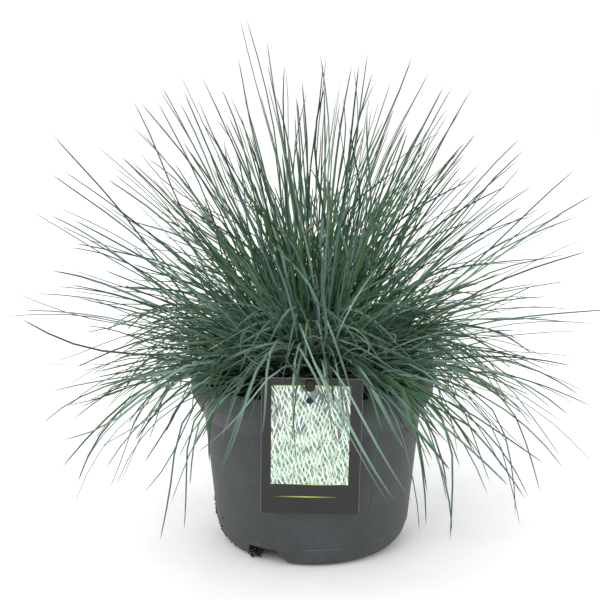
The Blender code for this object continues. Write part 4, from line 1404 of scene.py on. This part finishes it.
start_piece()
bpy.ops.mesh.primitive_plane_add(size=1.0)
card = edit_all()
bpy.ops.transform.resize(value=(LABEL_WIDTH, LABEL_HEIGHT, 1), center_override=(0, 0, 0))
bpy.ops.mesh.bevel(offset=CARD_CORNER, segments=8, affect="VERTICES")
bpy.ops.transform.translate(value=(0, 0, -LABEL_THICKNESS / 2))
bpy.ops.mesh.extrude_region_move(TRANSFORM_OT_translate={"value": (0, 0, LABEL_THICKNESS)})
close_piece()
for width, height, sides, centre in ((SLOT_WIDTH, SLOT_HEIGHT, 32, SLOT_CENTRE),
                                     (2 * EYE_RADIUS, 2 * EYE_RADIUS, 24, EYE_CENTRE)):
    cutter = add_oval(width, height, CUTTER_DEPTH, sides, (STUD_SIDE, centre, 0))
    bpy.ops.object.mode_set(mode="OBJECT")
    combine(card, cutter)
ease_edges(card, CARD_EDGE)
uv = card.data.uv_layers.new(name="print")
for loop in card.data.loops:
    at = card.data.vertices[loop.vertex_index].co
    uv.data[loop.index].uv = (at.x / LABEL_WIDTH + 0.5, at.y / LABEL_HEIGHT + 0.5)
card.matrix_world = label_place
print(f"card: {LABEL_WIDTH / MM:.0f} x {LABEL_HEIGHT / MM:.0f} mm")

# %% Material: printed card
PICTURE = (-28.7, 27.5, -30.2, 48.5)  # left, right, bottom, top, in mm from the card's centre
FACE = (35.7, 54.35, -0.15, 2.3)  # half width, half height, middle's height and corner radius
RULES = (  # middle, half length, bottom, top: each fades out towards its ends
    (0.8, 30.0, 48.2, 49.0), (4.0, 16.0, -30.7, -30.0), (-3.2, 23.5, -41.0, -40.2),
)
LEAF_LAYERS = (  # turn in degrees, spacing across and up, leaf width (mm), dark and light print
    (6.0, 2.3, 19.0, 1.8, "#5f5d6b", "#93a09b"),
    (-31.0, 2.6, 17.0, 1.3, "#7c8b85", "#bcd4c4"),
    (24.0, 2.9, 15.0, 1.2, "#9fc080", "#dcefd9"),
    (-15.0, 2.5, 22.0, 1.2, "#a6d0b4", "#e8f6ea"),
    (33.0, 3.5, 17.0, 1.0, "#bfe2c8", "#f6fdf6"),
    (12.0, 3.1, 14.0, 1.1, "#d6efd9", "#ffffff"),
)

printed, tree, shader = new_material("offset printed polypropylene card", 0.36, 1.49)
uv_map = add_node(tree, "UVMap", uv_map="print")
on_card = add_node(tree, "Mapping",
                   {"Vector": uv_map, "Location": (-LABEL_WIDTH / MM / 2, -LABEL_HEIGHT / MM / 2, 0),
                    "Scale": (LABEL_WIDTH / MM, LABEL_HEIGHT / MM, 1)})
card_x, card_y, _ = add_node(tree, "SeparateXYZ", [on_card]).outputs


def box_mask(left, right, bottom, top):
    """1 inside an upright rectangle on the card, 0 outside."""
    mask = add_node(tree, "Math", [card_x, left], operation="GREATER_THAN")
    for value, side, limit in ((card_x, "LESS_THAN", right), (card_y, "GREATER_THAN", bottom),
                               (card_y, "LESS_THAN", top)):
        within = add_node(tree, "Math", [value, limit], operation=side)
        mask = add_node(tree, "Math", [mask, within], operation="MULTIPLY")
    return mask


def face_mask(half_width, half_height, middle, radius):
    """1 on the card's dark face, which has rounded corners and stops short of the cut edge."""
    from_middle = add_node(tree, "Math", [card_y, middle], operation="SUBTRACT")
    squares = []
    for value, half in ((card_x, half_width), (from_middle, half_height)):
        size = add_node(tree, "Math", [value], operation="ABSOLUTE")
        past = add_node(tree, "Math", [size, half - radius], operation="SUBTRACT")
        past = add_node(tree, "Math", [past, 0.0], operation="MAXIMUM")
        squares.append(add_node(tree, "Math", [past, past], operation="MULTIPLY"))
    away = add_node(tree, "Math", squares, operation="ADD")
    return add_node(tree, "Math", [away, radius ** 2], operation="LESS_THAN")


# %% The picture's leaves, layer on layer
wash = add_node(tree, "TexNoise", {"Vector": on_card, "Scale": 0.09, "Detail": 2.0})
picture = add_node(tree, "ValToRGB", [wash], stops=[(0.35, "#55545f"), (0.65, "#7f8a86")])
sparse = add_node(tree, "Math", [card_y, 0.011, 0.14], operation="MULTIPLY_ADD", use_clamp=True)
for turn, across, up, width, dark, light in LEAF_LAYERS:
    grid = add_node(tree, "Mapping", {"Vector": on_card, "Rotation": (0, 0, math.radians(turn)),
                                      "Scale": (across, up, 1)}, vector_type="TEXTURE")
    cell_x, cell_y, _ = add_node(tree, "SeparateXYZ", [grid]).outputs
    column = add_node(tree, "Math", [cell_x], operation="FLOOR")
    start = add_node(tree, "TexWhiteNoise", {"W": column}, noise_dimensions="1D")
    shifted = add_node(tree, "Math", [cell_y, start], operation="ADD")
    row = add_node(tree, "Math", [shifted], operation="FLOOR")
    along = add_node(tree, "Math", [cell_x], operation="FRACT")
    along = add_node(tree, "Math", [along, 0.5], operation="SUBTRACT")
    side = add_node(tree, "Math", [along], operation="ABSOLUTE")
    rise = add_node(tree, "Math", [shifted], operation="FRACT")
    rise = add_node(tree, "Math", [rise, 0.5], operation="SUBTRACT")
    rise = add_node(tree, "Math", [rise, rise], operation="MULTIPLY")
    rise = add_node(tree, "Math", [4.0, rise], operation="MULTIPLY")
    swell = add_node(tree, "Math", [1.0, rise], operation="SUBTRACT")
    side = add_node(tree, "Math", [side, 2 * across / width], operation="MULTIPLY")
    lens = add_node(tree, "Math", [swell, side], operation="SUBTRACT")
    lens = add_node(tree, "Math", [lens, 6.0], operation="MULTIPLY", use_clamp=True)
    where = add_node(tree, "CombineXYZ", {"X": column, "Y": row, "Z": turn})
    luck = add_node(tree, "TexWhiteNoise", {"Vector": where})
    shown = add_node(tree, "Math", [luck, sparse], operation="GREATER_THAN")
    mask = add_node(tree, "Math", [lens, shown], operation="MULTIPLY")
    ink = add_node(tree, "ValToRGB", [luck], stops=[(0.2, dark), (1.0, light)])
    picture = add_node(tree, "Mix", {"Factor": mask, "A": picture, "B": ink}, data_type="RGBA")

# %% Face, picture and rules
colour = add_node(tree, "Mix", {"Factor": face_mask(*FACE), "A": linear("#6f6b6b"),
                                "B": linear("#1d1b1c")}, data_type="RGBA")
colour = add_node(tree, "Mix", {"Factor": box_mask(*PICTURE), "A": colour, "B": picture},
                  data_type="RGBA")
for middle, half, bottom, top in RULES:
    off = add_node(tree, "Math", [card_x, middle], operation="SUBTRACT")
    away = add_node(tree, "Math", [off], operation="ABSOLUTE")
    share = add_node(tree, "Math", [away, half], operation="DIVIDE")
    strength = add_node(tree, "Math", [1.0, share], operation="SUBTRACT", use_clamp=True)
    within = box_mask(middle - half, middle + half, bottom, top)
    strength = add_node(tree, "Math", [strength, within], operation="MULTIPLY")
    colour = add_node(tree, "Mix", {"Factor": strength, "A": colour, "B": linear("#c3cf3f")},
                      data_type="RGBA")
set_inputs(shader, {"Base Color": colour})
finish_piece(card, "picture_label", printed, "label_card", "label", sharp=math.radians(30))

# %% [markdown]
# ## Label clip
#
# The clip is one strip of black polypropylene from a smooth mould, so its edges catch small bright
# highlights. It stands behind the label, steps over the pot's rim and goes down into the soil
# inside it. A tongue and a pin on its front go through the card's slot and eye. The strip is a
# small rectangle, extruded from one bend to the next.

# %% Clip strip
CLIP_WIDTH, CLIP_THICKNESS = 11.0 * MM, 1.4 * MM
CLIP_TOP, CLIP_BRIDGE = 156.3 * MM, 137.6 * MM
CLIP_INSIDE = 88.0 * MM
CLIP_TIP = (72.0 * MM, 78.0 * MM)
CLIP_CORNER = 1.8 * MM  # the strip turns over its bends in short straight steps

behind = label_place @ Vector((0.0, 0.0, -(LABEL_THICKNESS / 2 + GAP + CLIP_THICKNESS / 2)))


def behind_card(height):
    """The middle of the strip at this height, right behind the card: (distance in front, height)."""
    return Vector((-behind.y + math.tan(LABEL_LEAN) * (height - behind.z), height))


bridge_height = CLIP_BRIDGE + CLIP_THICKNESS / 2
clip_path = [
    Vector(CLIP_TIP),
    Vector((CLIP_INSIDE - 0.6 * MM, bridge_height - 2.6 * MM)),
    Vector((CLIP_INSIDE + CLIP_CORNER, bridge_height)),
    behind_card(bridge_height) - Vector((CLIP_CORNER, 0)),
    behind_card(bridge_height + CLIP_CORNER),
    behind_card(CLIP_TOP),
]
start_piece()
bpy.ops.mesh.primitive_plane_add(size=1.0)
clip = edit_all()
bpy.ops.transform.resize(value=(CLIP_WIDTH, CLIP_THICKNESS, 1), center_override=(0, 0, 0))
at = Vector((LABEL_SIDE, -clip_path[0].x, clip_path[0].y))
bpy.ops.transform.translate(value=at)
facing = math.pi / 2  # the plane faces straight up
for i in range(1, len(clip_path)):
    stride = clip_path[i] - clip_path[i - 1]
    after = clip_path[i + 1] - clip_path[i] if i + 1 < len(clip_path) else stride
    mitre = stride.normalized() + after.normalized()
    wanted = math.atan2(mitre.y, mitre.x)
    step = Vector((0, -stride.x, stride.y))
    bpy.ops.mesh.extrude_region_move(TRANSFORM_OT_translate={"value": step})
    at = at + step
    bm = bmesh.from_edit_mesh(clip.data)
    turn_by = Matrix.Rotation(wanted - facing, 3, Vector((1, 0, 0)))
    bmesh.ops.rotate(bm, cent=at, matrix=turn_by, verts=[v for v in bm.verts if v.select])
    bmesh.update_edit_mesh(clip.data)
    facing = wanted
close_piece()
strip_length = sum((b - a).length for a, b in zip(clip_path, clip_path[1:]))
print(f"clip strip runs {strip_length / MM:.0f} mm")

# %% Tongue, pin and finish
TONGUE_PROUD, TONGUE_PLAY, PIN_RADIUS = 1.0 * MM, 1.2 * MM, 2.0 * MM
STUD_ROUND, CLIP_EDGE = 0.6 * MM, 0.25 * MM

for width, height, centre in ((SLOT_WIDTH - TONGUE_PLAY, SLOT_HEIGHT - TONGUE_PLAY, SLOT_CENTRE),
                              (2 * PIN_RADIUS, 2 * PIN_RADIUS, EYE_CENTRE)):
    stud = add_oval(width, height, LABEL_THICKNESS + 2 * TONGUE_PROUD, 32)
    pick(lambda edge: all(vert.co.z > 0 for vert in edge.verts), "EDGE")
    bpy.ops.mesh.bevel(offset=STUD_ROUND, segments=3)
    bpy.ops.object.mode_set(mode="OBJECT")
    stud.matrix_world = label_place @ Matrix.Translation((STUD_SIDE, centre, 0))
    combine(clip, stud, "UNION")
ease_edges(clip, CLIP_EDGE)
black_clip, tree, shader = new_material("glossy black polypropylene", 0.35, 1.45)
place = add_node(tree, "TexCoord").outputs["Object"]
smear = add_node(tree, "TexNoise", {"Vector": place, "Scale": 1 / (6 * MM)})
colour = add_node(tree, "ValToRGB", [smear], stops=[(0.3, "#050505"), (0.7, "#0b0b0c")])
set_inputs(shader, {"Base Color": colour})
finish_piece(clip, "label_clip", black_clip, "holder_plastic", "label_holder")
